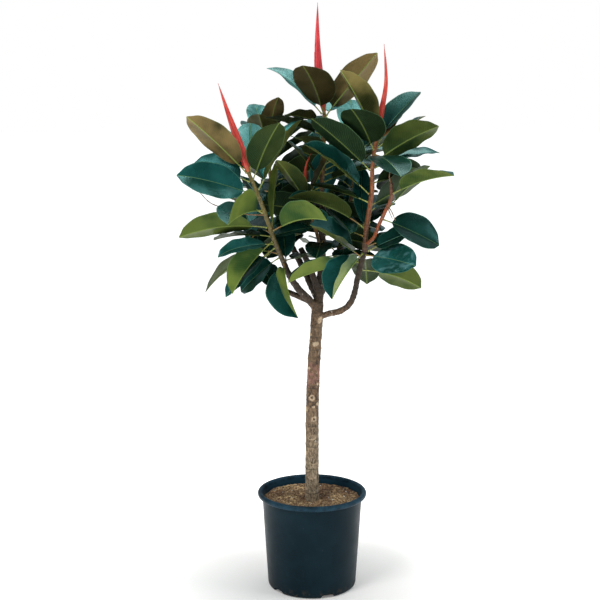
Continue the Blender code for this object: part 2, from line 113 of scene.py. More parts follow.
SIDE_SHOOTS = {
    "side_shoot": (
        "right_shoot", 0.06,
        [(0.164, -0.116, 0.212), (0.178, -0.138, 0.255), (0.198, -0.152, 0.300), (0.209, -0.160, 0.332),
         (0.208, -0.162, 0.372)], 1.0),
    "middle_shoot": (
        "leader", 0.58, [(-0.010, -0.020, 0.236), (-0.027, -0.040, 0.292), (-0.035, -0.050, 0.335)], 0.4),
}
# The shoot each bud sheath ends, its greatest radius, its points from the fork, and how orange it is.
SHEATHS = {
    "top_sheath": (
        "top_shoot", 0.0150,
        [(0.004, -0.010, 0.666), (-0.002, -0.010, 0.768), (-0.002, 0, 0.890)], 0.1),
    "left_sheath": (
        "left_shoot", 0.0136,
        [(-0.232, -0.130, 0.490), (-0.262, -0.120, 0.574), (-0.290, -0.100, 0.655)], 0.5),
    "right_sheath": (
        "right_shoot", 0.0088,
        [(0.181, -0.125, 0.579), (0.193, -0.120, 0.659), (0.188, -0.100, 0.766)], 0.6),
    "middle_sheath": (
        "middle_shoot", 0.0062,
        [(-0.039, -0.056, 0.388), (-0.034, -0.054, 0.423), (-0.021, -0.045, 0.452)], 1.0),
}

# The CAD's leaves. What each grows on, how far along (0 to 1), heading and pitch of its chord, roll about
# it, in degrees; stalk, blade length and width in metres; droop, fold and tip curl in degrees. Then how
# teal its glossy side is, a bluish bloom with painted sky reflection, how brown its underside, and how much
# painted light its underside has, dark in shade and bright where lit, from 0 to 1.
LEAVES = {
    "top_leaf_1": ("top_shoot", 0.98, 249, 38, 0, 0.030, 0.190, 0.125, 20, 10, 0, 0.3, 1.0, 0.15),
    "top_leaf_2": ("top_shoot", 0.97, 167, 41, -15, 0.030, 0.190, 0.110, 20, 15, 20, 0.9, 0.6, 0.5),
    "top_leaf_3": ("top_shoot", 0.95, 338, 49, -35, 0.030, 0.210, 0.110, 15, 10, 0, 0.3, 1.0, 1.0),
    "top_leaf_4": ("top_shoot", 0.91, 63, 27, 0, 0.030, 0.170, 0.110, 30, 10, 0, 0.9, 0.5, 0.5),
    "top_leaf_5": ("top_shoot", 0.85, 220, 10, 20, 0.030, 0.115, 0.075, 20, 15, 0, 0.4, 0.7, 0.3),
    "right_leaf_1": ("right_shoot", 0.98, 220, 53, 0, 0.030, 0.200, 0.110, 10, 30, 0, 0.3, 0.8, 1.0),
    "right_leaf_2": ("right_shoot", 0.84, 245, 35, 0, 0.030, 0.175, 0.130, 15, 10, 0, 0.4, 0.1, 0.0),
    "right_leaf_3": ("right_shoot", 0.96, 18, 46, 15, 0.030, 0.155, 0.115, 20, 20, 0, 0.2, 0.5, 0.5),
    "right_leaf_4": ("right_shoot", 0.74, 345, 29, -40, 0.030, 0.180, 0.125, 20, 15, 0, 0.6, 0.1, 0.35),
    "right_leaf_5": ("right_shoot", 0.68, 12, 13, 15, 0.030, 0.175, 0.090, 20, 15, 10, 0.6, 0.3, 0.5),
    "right_leaf_6": ("side_shoot", 0.86, 320, 16, -5, 0.030, 0.185, 0.105, 25, 28, 0, 0.7, 0.1, 0.6),
    "right_leaf_7": ("right_shoot", 0.80, 291, -17, 0, 0.030, 0.155, 0.120, 30, 8, 0, 0.1, 0.3, 0.3),
    "right_leaf_8": ("side_shoot", 0.60, 8, 45, -20, 0.035, 0.140, 0.115, 10, 20, 0, 0.4, 0.1, 0.15),
    "right_leaf_9": ("right_shoot", 0.66, 208, 38, 20, 0.035, 0.210, 0.120, 15, 15, 0, 0.3, 0.05, 0.0),
    "right_leaf_10": ("right_shoot", 0.46, 190, 37, -30, 0.040, 0.205, 0.105, 15, 30, 0, 0.3, 0.2, 0.4),
    "right_leaf_11": ("right_shoot", 0.06, 96, 73, 0, 0.070, 0.175, 0.085, 5, 45, 0, 0.4, 0.2, 0.4),
    "left_leaf_1": ("left_shoot", 0.99, 205, 42, 35, 0.035, 0.210, 0.110, 15, 15, 0, 0.4, 1.0, 0.9),
    "left_leaf_2": ("left_shoot", 0.97, 92, 47, 0, 0.030, 0.165, 0.100, 15, 15, 0, 0.9, 0.3, 0.4),
    "left_leaf_3": ("left_shoot", 0.88, 302, 48, -10, 0.030, 0.190, 0.105, 15, 10, 0, 0.3, 0.1, 0.12),
    "left_leaf_4": ("left_shoot", 0.76, 18, 57, 0, 0.035, 0.205, 0.090, 10, 45, 0, 0.8, 0.3, 0.4),
    "left_leaf_5": ("left_shoot", 0.90, 140, 45, 0, 0.030, 0.175, 0.100, 20, 20, 0, 0.3, 0.3, 0.4),
    "left_leaf_6": ("left_shoot", 0.74, 193, 15, -60, 0.035, 0.200, 0.115, 10, 15, 10, 0.7, 0.2, 0.4),
    "left_leaf_7": ("left_shoot", 0.54, 165, 17, 5, 0.030, 0.200, 0.080, 25, 15, 0, 0.9, 0.8, 0.4),
    "left_leaf_8": ("left_shoot", 0.58, 245, -6, 25, 0.035, 0.180, 0.145, 25, 50, 0, 0.5, 0.0, 0.8),
    "left_leaf_9": ("left_shoot", 0.39, 174, -7, 40, 0.045, 0.225, 0.115, 35, 15, 0, 0.7, 0.0, 0.6),
    "left_leaf_10": ("left_shoot", 0.26, 215, -46, 45, 0.035, 0.165, 0.120, 25, 50, 0, 0.5, 0.0, 1.0),
    "left_leaf_11": ("left_shoot", 0.10, 165, -42, -45, 0.025, 0.135, 0.110, 25, 15, 0, 0.6, 0.1, 0.6),
    "left_leaf_12": ("low_left_branch", 0.89, 229, -25, 50, 0.030, 0.190, 0.100, 25, 15, 0, 0.8, 0.1, 0.4),
    "left_leaf_13": ("left_shoot", 0.03, 288, -45, 72, 0.018, 0.180, 0.130, 20, 58, 0, 0.4, 0.0, 1.0),
    "left_leaf_14": ("left_branch", 0.90, 97, 49, 0, 0.030, 0.145, 0.080, 10, 35, 0, 0.3, 0.3, 0.4),
    "left_leaf_15": ("left_shoot", 0.34, 81, 64, -95, 0.030, 0.195, 0.080, 10, 10, 0, 0.4, 0.0, 0.9),
    "middle_leaf_1": ("left_shoot", 0.35, 328, 12, -20, 0.030, 0.160, 0.125, 40, 45, 0, 0.7, 0.0, 0.7),
    "middle_leaf_2": ("right_shoot", 0.20, 195, 22, 5, 0.050, 0.200, 0.120, 35, 35, 0, 0.3, 0.2, 0.3),
    "middle_leaf_3": ("right_branch", 0.94, 212, 30, -35, 0.035, 0.170, 0.120, 10, 35, 0, 0.3, 0.2, 0.4),
    "middle_leaf_4": ("right_branch", 0.98, 232, -38, 12, 0.028, 0.165, 0.130, 20, 55, 0, 0.7, 0.0, 1.0),
    "middle_leaf_5": ("right_branch", 0.87, 190, -15, 8, 0.040, 0.180, 0.110, 20, 43, 0, 0.3, 0.0, 0.9),
    "middle_leaf_6": ("middle_shoot", 0.84, 226, 46, 0, 0.020, 0.155, 0.090, 15, 15, 0, 0.3, 0.3, 0.4),
    "middle_leaf_7": ("middle_shoot", 0.93, 345, 62, 0, 0.020, 0.135, 0.070, 10, 15, 0, 0.3, 1.0, 0.8),
    "low_right_leaf_1": ("right_branch", 0.97, 318, -5, 40, 0.030, 0.155, 0.120, 15, 5, 0, 1.0, 0.1, 0.5),
    "low_right_leaf_2": ("right_branch", 0.80, 10, -18, -45, 0.055, 0.140, 0.110, 35, 10, 0, 0.3, 0.1, 0.5),
    "low_right_leaf_3": ("side_shoot", 0.48, 5, -25, 40, 0.025, 0.158, 0.130, 15, 15, 0, 0.1, 0.2, 0.4),
    "back_left_leaf_1": ("back_left_shoot", 0.97, 286, 45, 0, 0.030, 0.165, 0.070, 15, 10, 0, 0.3, 1.0, 0.9),
    "back_left_leaf_2": ("back_left_shoot", 0.88, 262, 37, 0, 0.030, 0.145, 0.100, 15, 10, 0, 0.4, 0.6, 0.3),
    "back_left_leaf_3": ("back_left_shoot", 0.80, 110, 25, 0, 0.030, 0.190, 0.110, 30, 15, 0, 0.5, 0.2, 0.4),
    "back_right_leaf_1": ("back_right_shoot", 0.95, 95, 42, 0, 0.030, 0.165, 0.110, 20, 15, 0, 0.9, 0.3, 0.4),
    "back_right_leaf_2": ("back_right_shoot", 0.70, 50, 20, 0, 0.030, 0.190, 0.120, 30, 15, 0, 0.4, 0.3, 0.4),
}

# Smaller leaves behind and between those, by number, which the CAD leaves out. They stay within its box.
FILL_LEAVES = {
    1: ("left_shoot", 0.86, 172, 31, -40, 0.030, 0.150, 0.110, 20, 15, 0, 0.3, 0.3, 0.3),
    2: ("top_shoot", 0.55, 238, 25, 0, 0.030, 0.130, 0.090, 20, 15, 0, 0.2, 0.4, 0.1),
    3: ("right_shoot", 0.90, 30, 50, 45, 0.025, 0.130, 0.045, 10, 25, 0, -1, 1.0, 1.0),
    4: ("right_shoot", 0.86, 9, 33, 0, 0.030, 0.140, 0.055, 15, 20, 0, 1.0, 0.3, 0.4),
    5: ("left_shoot", 0.30, 152, 1, 0, 0.035, 0.165, 0.090, 25, 15, 0, 0.2, 0.2, 0.1),
    6: ("left_shoot", 0.24, 213, -6, -20, 0.030, 0.160, 0.060, 25, 20, 25, 0.8, 0.3, 0.2),
    7: ("low_left_branch", 0.84, 297, -30, 10, 0.025, 0.120, 0.080, 20, 15, 0, 0.1, 0.1, 0.1),
    8: ("right_branch", 0.95, 83, -42, 0, 0.030, 0.130, 0.105, 20, 20, 0, 0.2, 0.2, 0.1),
    9: ("back_left_shoot", 1.0, 106, 38, 0, 0.030, 0.150, 0.090, 15, 15, 0, 1.0, 0.3, 0.4),
    11: ("leader", 1.0, 82, 57, 0, 0.030, 0.160, 0.090, 15, 15, 0, 0.6, 0.3, 0.4),
    12: ("top_shoot", 0.30, 180, 50, 0, 0.030, 0.120, 0.080, 15, 15, 0, 0.6, 0.3, 0.1),
    13: ("right_shoot", 0.07, 31, 7, 0, 0.030, 0.140, 0.100, 20, 20, 0, 0.2, 0.3, 0.2),
    15: ("leader", 1.0, 300, -18, 0, 0.030, 0.140, 0.105, 20, 15, 0, 0.1, 0.1, 0.1),
    17: ("top_shoot", 0.28, 322, 8, 0, 0.030, 0.150, 0.105, 20, 15, 0, 0.2, 0.1, 0.1),
    18: ("leader", 0.84, 345, -8, 0, 0.030, 0.150, 0.100, 20, 15, 0, 0.2, 0.1, 0.1),
    19: ("right_shoot", 0.38, 170, 2, 0, 0.030, 0.150, 0.105, 20, 15, 0, 0.1, 0.1, 0.1),
    20: ("right_shoot", 0.14, 166, 24, 0, 0.030, 0.150, 0.105, 20, 15, 0, 0.2, 0.1, 0.1),
    21: ("leader", 0.78, 212, -6, 0, 0.030, 0.140, 0.100, 20, 15, 0, 0.1, 0.1, 0.1),
    22: ("back_left_shoot", 0.06, 352, 10, -58, 0.030, 0.180, 0.115, 15, 15, 0, 0.2, 0.2, 0.1),
    23: ("back_left_shoot", 0.42, 345, 14, -55, 0.030, 0.175, 0.110, 15, 15, 0, 0.2, 0.3, 0.1),
    24: ("back_left_branch", 0.84, 350, 4, -58, 0.030, 0.180, 0.115, 15, 15, 0, 0.2, 0.1, 0.0),
    25: ("back_right_shoot", 0.10, 190, 12, 58, 0.030, 0.180, 0.115, 15, 15, 0, 0.2, 0.2, 0.1),
    26: ("back_right_shoot", 0.45, 196, 14, 55, 0.030, 0.170, 0.110, 15, 15, 0, 0.2, 0.3, 0.1),
    28: ("leader", 0.70, 352, 2, -50, 0.030, 0.160, 0.105, 20, 15, 0, 0.2, 0.1, 0.0),
    29: ("leader", 0.90, 186, 10, 50, 0.030, 0.160, 0.105, 20, 15, 0, 0.2, 0.1, 0.0),
    30: ("top_shoot", 0.10, 20, 6, 0, 0.030, 0.150, 0.105, 20, 15, 0, 0.2, 0.1, 0.1),
    31: ("right_shoot", 0.36, 26, 24, -50, 0.014, 0.190, 0.125, 10, 12, 0, 0.3, 0.1, 0.15),
    32: ("right_shoot", 0.56, 36, 8, -58, 0.012, 0.180, 0.115, 15, 12, 0, 0.2, 0.1, 0.05),
    33: ("left_shoot", 0.20, 192, -44, -20, 0.040, 0.165, 0.090, 20, 12, 0, 0.6, 0.1, 0.2),
    34: ("leader", 0.98, 20, -30, -60, 0.014, 0.160, 0.110, 15, 12, 0, 0.2, 0.1, 0.0),
    35: ("leader", 0.96, 160, -28, 60, 0.014, 0.160, 0.110, 15, 12, 0, 0.2, 0.1, 0.0),
    36: ("top_shoot", 0.22, 158, -25, 60, 0.014, 0.150, 0.105, 15, 12, 0, 0.2, 0.1, 0.0),
    38: ("leader", 0.64, 262, -14, 0, 0.025, 0.120, 0.085, 25, 15, 0, 0.1, 0.1, 0.0),
    39: ("right_shoot", 0.02, 350, 18, 30, 0.030, 0.120, 0.090, 15, 12, 0, 0.2, 0.1, 0.1),
}

# Stems that carry yet more leaves in the shade behind those: first and last share, how many are tried,
# and the least y they may reach, so that the front stays as it is.
DENSE_STEMS = {
    "left_shoot": (0.02, 0.92, 16, -0.125),
    "right_shoot": (0.02, 0.86, 16, -0.105),
    "side_shoot": (0.20, 0.80, 6, -0.140),
    "middle_shoot": (0.20, 0.75, 8, -0.045),
    "leader": (0.45, 1.0, 18, -0.120),
    "top_shoot": (0.02, 0.80, 18, -0.110),
    "left_branch": (0.70, 1.0, 6, -0.060),
    "right_branch": (0.72, 1.0, 8, -0.040),
    "low_left_branch": (0.55, 1.0, 10, -0.020),
    "back_left_branch": (0.50, 1.0, 16, -0.040),
    "back_right_branch": (0.50, 1.0, 16, -0.040),
    "back_left_shoot": (0.05, 1.0, 20, -0.020),
    "back_right_shoot": (0.05, 1.0, 20, -0.020),
}
DENSE_LOW, DENSE_HIGH = (-0.27, -0.32, 0.985), (0.27, 0.36, 1.465)  # the box they stay in
CLEAR_LOW, CLEAR_HIGH = (-0.085, -0.32, 1.150), (0.030, -0.045, 1.370)  # in front of the middle shoot
DENSE_TURNS = 8  # how many headings are tried for each
# Turns of heading, pitch and roll, in degrees, tried for a fill leaf that meets another, least first.
NUDGES = sorted(
    ((h, p, r) for h in (0, -7, 7, -14, 14, -21, 21) for p in (0, -7, 7, -14, 14) for r in (0, -14, 14)),
    key=lambda turn: abs(turn[0]) + abs(turn[1]) + 0.5 * abs(turn[2]),
)
# Loose on the soil: material, its dark and light colour, seed, how many, least and greatest radius, and
# height as a part of width.
CRUMBS = {
    "soil_crumbs": ("crumb", (0.040, 0.020, 0.009), (0.30, 0.17, 0.085), 11, 1100, (0.0012, 0.0042), 0.6),
    "soil_bark_chips": ("chip", (0.10, 0.055, 0.025), (0.40, 0.27, 0.14), 12, 320, (0.0020, 0.0065), 0.35),
    "soil_perlite": ("perlite", (0.62, 0.60, 0.56), (0.85, 0.84, 0.80), 13, 46, (0.0012, 0.0028), 0.8),
}


# --- helpers ---------------------------------------------------------------------------------
def curve_through(points, steps=TUBE_STEPS):
    """Points of a smooth Catmull-Rom curve through these points, as the CAD samples it."""
    points = [Vector(p) for p in points]
    ends = [2 * points[0] - points[1]] + points + [2 * points[-1] - points[-2]]
    found = []
    for a, b, c, d in zip(ends, ends[1:], ends[2:], ends[3:]):
        for i in range(steps):
            t = i / steps
            curve = 2 * b + (c - a) * t + (2 * a - 5 * b + 4 * c - d) * t**2
            found.append(0.5 * (curve + (3 * b - a - 3 * c + d) * t**3))
    return found + [points[-1]]


def route_length(route):
    return sum((a - b).length for a, b in zip(route, route[1:]))


class Stem:
    """A stem's centre line and its radius along it, for what grows on it."""

    def __init__(self, points, start_radius, end_radius):
        self.route = curve_through(points)
        count = len(self.route) - 1
        self.radii = [start_radius + (end_radius - start_radius) * i / count for i in range(count + 1)]

    def at(self, share):
        """(point, direction, radius) this far along, from 0 to 1."""
        place = min(max(share, 0), 1) * (len(self.route) - 1)
        i = min(int(place), len(self.route) - 2)
        point = self.route[i].lerp(self.route[i + 1], place - i)
        direction = (self.route[i + 1] - self.route[i]).normalized()
        radius = self.radii[i] + (self.radii[i + 1] - self.radii[i]) * (place - i)
        return point, direction, radius


def stand_off(stem, share, towards, thickness):
    """Where a stalk of this thickness starts on a stem's bark."""
    point, along, radius = stem.at(share)
    out = towards - along * towards.dot(along)
    out.normalize()
    tilt = abs(towards.dot(along))
    return point + out * (radius + CLEARANCE + tilt * thickness / 2)


def from_fork(points):
    return [FORK + Vector(p) for p in points]


def smoothstep(low, high, value):
    t = np.clip((value - low) / (high - low), 0, 1)
    return t * t * (3 - 2 * t)


def linked(name, data):
    obj = bpy.data.objects.new(name, data)
    bpy.context.scene.collection.objects.link(obj)
    return obj


def add_piece(name, mesh, materials, slot, *nodes):
    """Links a finished mesh, in the row frame, as a piece that stands for these CAD nodes."""
    obj = linked(name, mesh)
    for made in materials:
        mesh.materials.append(made)
    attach(obj, "root")
    if nodes:
        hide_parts(*nodes)
    return obj


def mesh_from(name, verts, faces, smooth_angle=None):
    mesh = bpy.data.meshes.new(name)
    mesh.from_pydata([tuple(v) for v in verts], [], faces)
    mesh.shade_smooth()
    if smooth_angle:
        mesh.set_sharp_from_angle(angle=math.radians(smooth_angle))
    return mesh


def mesh_of(bm, name):
    """The mesh that a bmesh holds. The bmesh is freed."""
    mesh = bpy.data.meshes.new(name)
    bm.to_mesh(mesh)
    bm.free()
    return mesh


def with_modifiers(obj, name):
    """An object's mesh with its modifiers applied. The object goes."""
    bpy.context.view_layer.update()
    graph = bpy.context.evaluated_depsgraph_get()
    mesh = bpy.data.meshes.new_from_object(obj.evaluated_get(graph))
    mesh.name = name
    mesh.materials.clear()
    bpy.data.objects.remove(obj)
    return mesh


def ring_faces(rows, size):
    """Quads between each two of these rings of vertices, which are numbered ring by ring."""
    return [
        (i * size + j, i * size + (j + 1) % size, (i + 1) * size + (j + 1) % size, (i + 1) * size + j)
        for i in range(rows - 1)
        for j in range(size)
    ]


def corner_values(mesh, name, values):
    """Two numbers for each vertex, as a UV map that the materials read."""
    layer = mesh.uv_layers.new(name=name)
    index = np.empty(len(mesh.loops), int)
    mesh.loops.foreach_get("vertex_index", index)
    layer.data.foreach_set("uv", values[index].ravel())


def vertex_values(mesh, name, values):
    """A number for each vertex that the materials read."""
    layer = mesh.attributes.new(name, "FLOAT", "POINT")
    layer.data.foreach_set("value", np.asarray(values, np.float32))


def coords(mesh):
    co = np.empty(len(mesh.vertices) * 3)
    mesh.vertices.foreach_get("co", co)
    return co.reshape(-1, 3)


def noise_at(points, scale, seed=0.0, octaves=3):
    """Fractal noise from about -1 to 1 at each point."""
    shift = Vector((seed, seed * 1.7, seed * 2.3))
    return np.array([noise.fractal(Vector(p) * scale + shift, 1.0, 2.0, octaves) for p in points])


# --- materials -------------------------------------------------------------------------------
class Shader:
    """A Principled material and short ways to add nodes to it."""

    def __init__(self, name, **fixed):
        self.material = bpy.data.materials.new(name)
        self.material.use_nodes = True
        self.tree = self.material.node_tree
        self.shader = self.tree.nodes["Principled BSDF"]
        for key, value in fixed.items():
            self.shader.inputs[key.replace("_", " ")].default_value = value
        self.place = self.tree.nodes.new("ShaderNodeTexCoord").outputs["Object"]

    def put(self, socket, value):
        if isinstance(value, bpy.types.NodeSocket):
            self.tree.links.new(value, socket)
        elif isinstance(value, tuple) and len(value) == 3 and socket.type == "RGBA":
            socket.default_value = (*value, 1)
        else:
            socket.default_value = value

    def node(self, kind, inputs, output=0, **settings):
        made = self.tree.nodes.new("ShaderNode" + kind)
        for key, value in settings.items():
            setattr(made, key, value)
        for key, value in inputs.items():
            self.put(made.inputs[key], value)
        return made.outputs[output]

    def math(self, operation, a, b=0.0, c=0.0, clamp=False):
        return self.node("Math", {0: a, 1: b, 2: c}, operation=operation, use_clamp=clamp)

    def mix(self, factor, a, b, blend="MIX"):
        return self.node("Mix", {0: factor, 6: a, 7: b}, 2, data_type="RGBA", blend_type=blend)

    def tint(self, colour, mask, amount, over):
        """The colour with this much of another laid over it where the mask is 1."""
        return self.mix(self.math("MULTIPLY", mask, amount), colour, over)

    def steps(self, value, low, high):
        """0 below low and 1 above high."""
        return self.node("MapRange", {0: value, 1: low, 2: high}, interpolation_type="SMOOTHSTEP")

    def noise(self, scale, detail=3.0, vector=None, rough=0.5, warp=0.0):
        inputs = {"Vector": vector or self.place, "Scale": scale, "Detail": detail}
        inputs.update({"Roughness": rough, "Distortion": warp})
        return self.node("TexNoise", inputs)

    def stretched(self, scale):
        return self.node("Mapping", {"Vector": self.place, "Scale": scale})

    def value(self, name):
        return self.node("Attribute", {}, "Fac", attribute_name=name)

    def set(self, key, value):
        self.put(self.shader.inputs[key], value)

    def bump(self, height, distance, strength=1.0):
        self.set("Normal", self.node("Bump", {"Height": height, "Distance": distance, "Strength": strength}))


VEIN_SPACING = 0.0062


def leaf_places(shader):
    """Sockets: metres along the blade, metres out from the midrib, and how near the margin, 0 to 1."""
    uv = shader.node("UVMap", {}, uv_map="blade")
    split = shader.tree.nodes.new("ShaderNodeSeparateXYZ")
    shader.put(split.inputs[0], uv)
    return split.outputs[0], shader.math("ABSOLUTE", split.outputs[1]), shader.value("margin")


def vein_lines(shader, along, out, sharpness):
    """1 on the fine side veins, which leave the midrib at a wide angle and arch towards the tip."""
    arch = shader.math("MULTIPLY", shader.math("POWER", out, 1.35), 1.9)
    wander = shader.math("MULTIPLY", shader.noise(55, 3.0), 0.012)
    place = shader.math("ADD", shader.math("SUBTRACT", along, arch), wander)
    wave = shader.math("COSINE", shader.math("MULTIPLY", place, 2 * math.pi / VEIN_SPACING))
    return shader.math("POWER", shader.math("MULTIPLY_ADD", wave, 0.5, 0.5), sharpness)


def leaf_top_material():
    s = Shader("leaf_glossy_side", IOR=1.5, Specular_Tint=(0.22, 0.80, 0.78, 1))
    along, out, margin = leaf_places(s)
    veins = vein_lines(s, along, out, 5.0)
    midrib = s.steps(out, 0.0016, 0.0006)
    mottle = s.steps(s.noise(14, 4.0, rough=0.6), 0.35, 0.7)
    green = s.mix(mottle, (0.0010, 0.0100, 0.0058), (0.0026, 0.024, 0.0140))
    # The teal on the glossy side is partly the leaf's bluish bloom and partly painted sky reflection.
    teal_bloom_and_reflection = s.mix(mottle, (0.003, 0.045, 0.036), (0.012, 0.100, 0.090))
    colour = s.mix(s.value("teal_bloom_and_reflection"), green, teal_bloom_and_reflection)
    colour = s.tint(colour, veins, 0.10, (0.03, 0.12, 0.07))
    edge = s.math("MULTIPLY", s.steps(margin, 0.93, 0.995), 0.55)
    colour = s.mix(edge, colour, (0.10, 0.26, 0.17))
    # Pale blotches on the bluest leaves: partly hard-water stain, partly a painted sheen.
    stain_and_sheen_blotches = s.steps(s.noise(30, 4.0, rough=0.6, warp=1.2), 0.44, 0.74)
    stain_and_painted_sheen = s.math("MULTIPLY", stain_and_sheen_blotches, s.steps(s.value("teal_bloom_and_reflection"), 0.75, 1.0))
    colour = s.tint(colour, stain_and_painted_sheen, 0.55, (0.15, 0.34, 0.35))
    colour = s.tint(colour, midrib, 0.6, (0.16, 0.27, 0.09))
    dried = s.mix(mottle, (0.16, 0.060, 0.015), (0.42, 0.20, 0.060))
    colour = s.mix(s.value("dried"), colour, dried)
    spots = s.steps(s.noise(160, 2.0), 0.70, 0.76)
    colour = s.tint(colour, spots, 0.25, (0.12, 0.16, 0.07))
    s.set("Base Color", colour)
    s.set("Specular IOR Level", s.math("MULTIPLY_ADD", s.value("teal_bloom_and_reflection"), 0.45, 0.32))
    s.set("Roughness", s.math("MULTIPLY_ADD", s.noise(30, 3.0), 0.18, 0.20))
    fine = s.math("MULTIPLY", s.noise(420, 2.0), 0.12)
    height = s.math("ADD", s.math("MULTIPLY", veins, -0.45), fine)
    s.bump(s.math("ADD", height, s.math("MULTIPLY", s.noise(45, 2.0), 0.5)), 0.0004, 0.55)
    return s.material


def leaf_under_material():
    s = Shader("leaf_underside", IOR=1.45, Specular_IOR_Level=0.20, Specular_Tint=(0.40, 0.80, 0.50, 1))
    along, out, margin = leaf_places(s)
    veins = vein_lines(s, along, out, 4.0)
    midrib = s.steps(out, 0.0026, 0.0010)
    mottle = s.steps(s.noise(16, 4.0, rough=0.6), 0.3, 0.72)
    # The underside's colour carries painted light: a leaf in shade is near-black green, a lit one
    # yellow-green, lighter towards the tip.
    dark = s.mix(mottle, (0.0020, 0.0090, 0.0034), (0.0060, 0.0200, 0.0064))
    tipward = s.math("MULTIPLY_ADD", along, 1.5, s.noise(10, 3.0))
    light = s.mix(s.steps(tipward, 0.40, 0.78), (0.026, 0.066, 0.014), (0.165, 0.215, 0.036))
    green = s.mix(s.value("underside_painted_light"), dark, light)
    # Painted light shining through: tan patches towards the tip of lit undersides.
    painted_light_through_patches = s.math("MULTIPLY", s.steps(tipward, 0.44, 0.82), s.value("underside_painted_light"))
    brown = s.mix(painted_light_through_patches, s.mix(mottle, (0.016, 0.011, 0.004), (0.034, 0.025, 0.008)), (0.25, 0.165, 0.062))
    colour = s.mix(s.value("brown"), green, brown)
    colour = s.tint(colour, veins, 0.10, (0.16, 0.25, 0.07))
    colour = s.tint(colour, s.steps(margin, 0.95, 0.995), 0.4, (0.16, 0.30, 0.14))
    # The pale midrib is painted brighter on lit undersides.
    rib = s.math("MULTIPLY", midrib, s.math("MULTIPLY_ADD", s.value("underside_painted_light"), 0.45, 0.35))
    colour = s.mix(rib, colour, (0.24, 0.31, 0.07))
    dried = s.mix(mottle, (0.20, 0.075, 0.018), (0.46, 0.22, 0.065))
    s.set("Base Color", s.mix(s.value("dried"), colour, dried))
    s.set("Roughness", s.math("MULTIPLY_ADD", s.noise(40, 3.0), 0.2, 0.34))
    fine = s.math("MULTIPLY", s.noise(500, 2.0), 0.25)
    s.bump(s.math("ADD", s.math("MULTIPLY", veins, 0.6), fine), 0.0004, 0.5)
    return s.material


def stalk_material():
    s = Shader("leaf_stalk", Roughness=0.42)
    streaks = s.noise(1, 4.0, s.stretched((300, 300, 60)))
    colour = s.mix(s.steps(streaks, 0.35, 0.7), (0.16, 0.20, 0.035), (0.36, 0.38, 0.09))
    s.set("Base Color", s.mix(s.steps(s.noise(25), 0.5, 0.68), colour, (0.30, 0.15, 0.04)))
    s.bump(streaks, 0.0004, 0.5)
    return s.material


def shoot_material():
    s = Shader("young_bark", Roughness=0.5)
    streaks = s.noise(1, 5.0, s.stretched((220, 220, 45)), 0.6)
    green = s.mix(s.steps(streaks, 0.35, 0.7), (0.050, 0.060, 0.008), (0.16, 0.155, 0.024))
    orange = s.mix(s.steps(streaks, 0.35, 0.7), (0.15, 0.030, 0.008), (0.37, 0.078, 0.016))
    colour = s.mix(s.value("red"), green, orange)
    old = s.math("MULTIPLY", s.steps(s.value("along"), 0.42, 0.0), 0.85)
    colour = s.mix(old, colour, (0.040, 0.022, 0.010))
    colour = s.tint(colour, s.value("node_ring"), 0.45, (0.22, 0.14, 0.07))
    specks = s.steps(s.noise(260, 2.0), 0.62, 0.70)
    s.set("Base Color", s.tint(colour, specks, 0.5, (0.45, 0.34, 0.18)))
    s.bump(s.math("ADD", streaks, specks), 0.0005, 0.6)
    return s.material


def sheath_material():
    s = Shader("bud_sheath", Roughness=0.42, Specular_IOR_Level=0.4)
    s.set("Subsurface Weight", 0.1)
    s.set("Subsurface Scale", 0.004)
    lines = s.node("TexNoise", {"Vector": s.node("UVMap", {}, uv_map="skin"), "Scale": 1.0, "Detail": 4.0})
    pink = s.mix(s.steps(lines, 0.38, 0.66), (0.46, 0.010, 0.022), (0.76, 0.050, 0.062))
    orange = s.mix(s.steps(lines, 0.38, 0.66), (0.46, 0.030, 0.012), (0.80, 0.125, 0.050))
    colour = s.mix(s.value("warm"), pink, orange)
    colour = s.tint(colour, s.steps(s.value("along"), 0.82, 1.0), 0.7, (0.36, 0.05, 0.035))
    colour = s.tint(colour, s.steps(s.value("along"), 0.10, 0.0), 0.6, (0.42, 0.22, 0.07))
    s.set("Base Color", s.tint(colour, s.steps(s.noise(70), 0.56, 0.72), 0.35, (0.80, 0.16, 0.13)))
    s.bump(lines, 0.0006, 0.5)
    return s.material


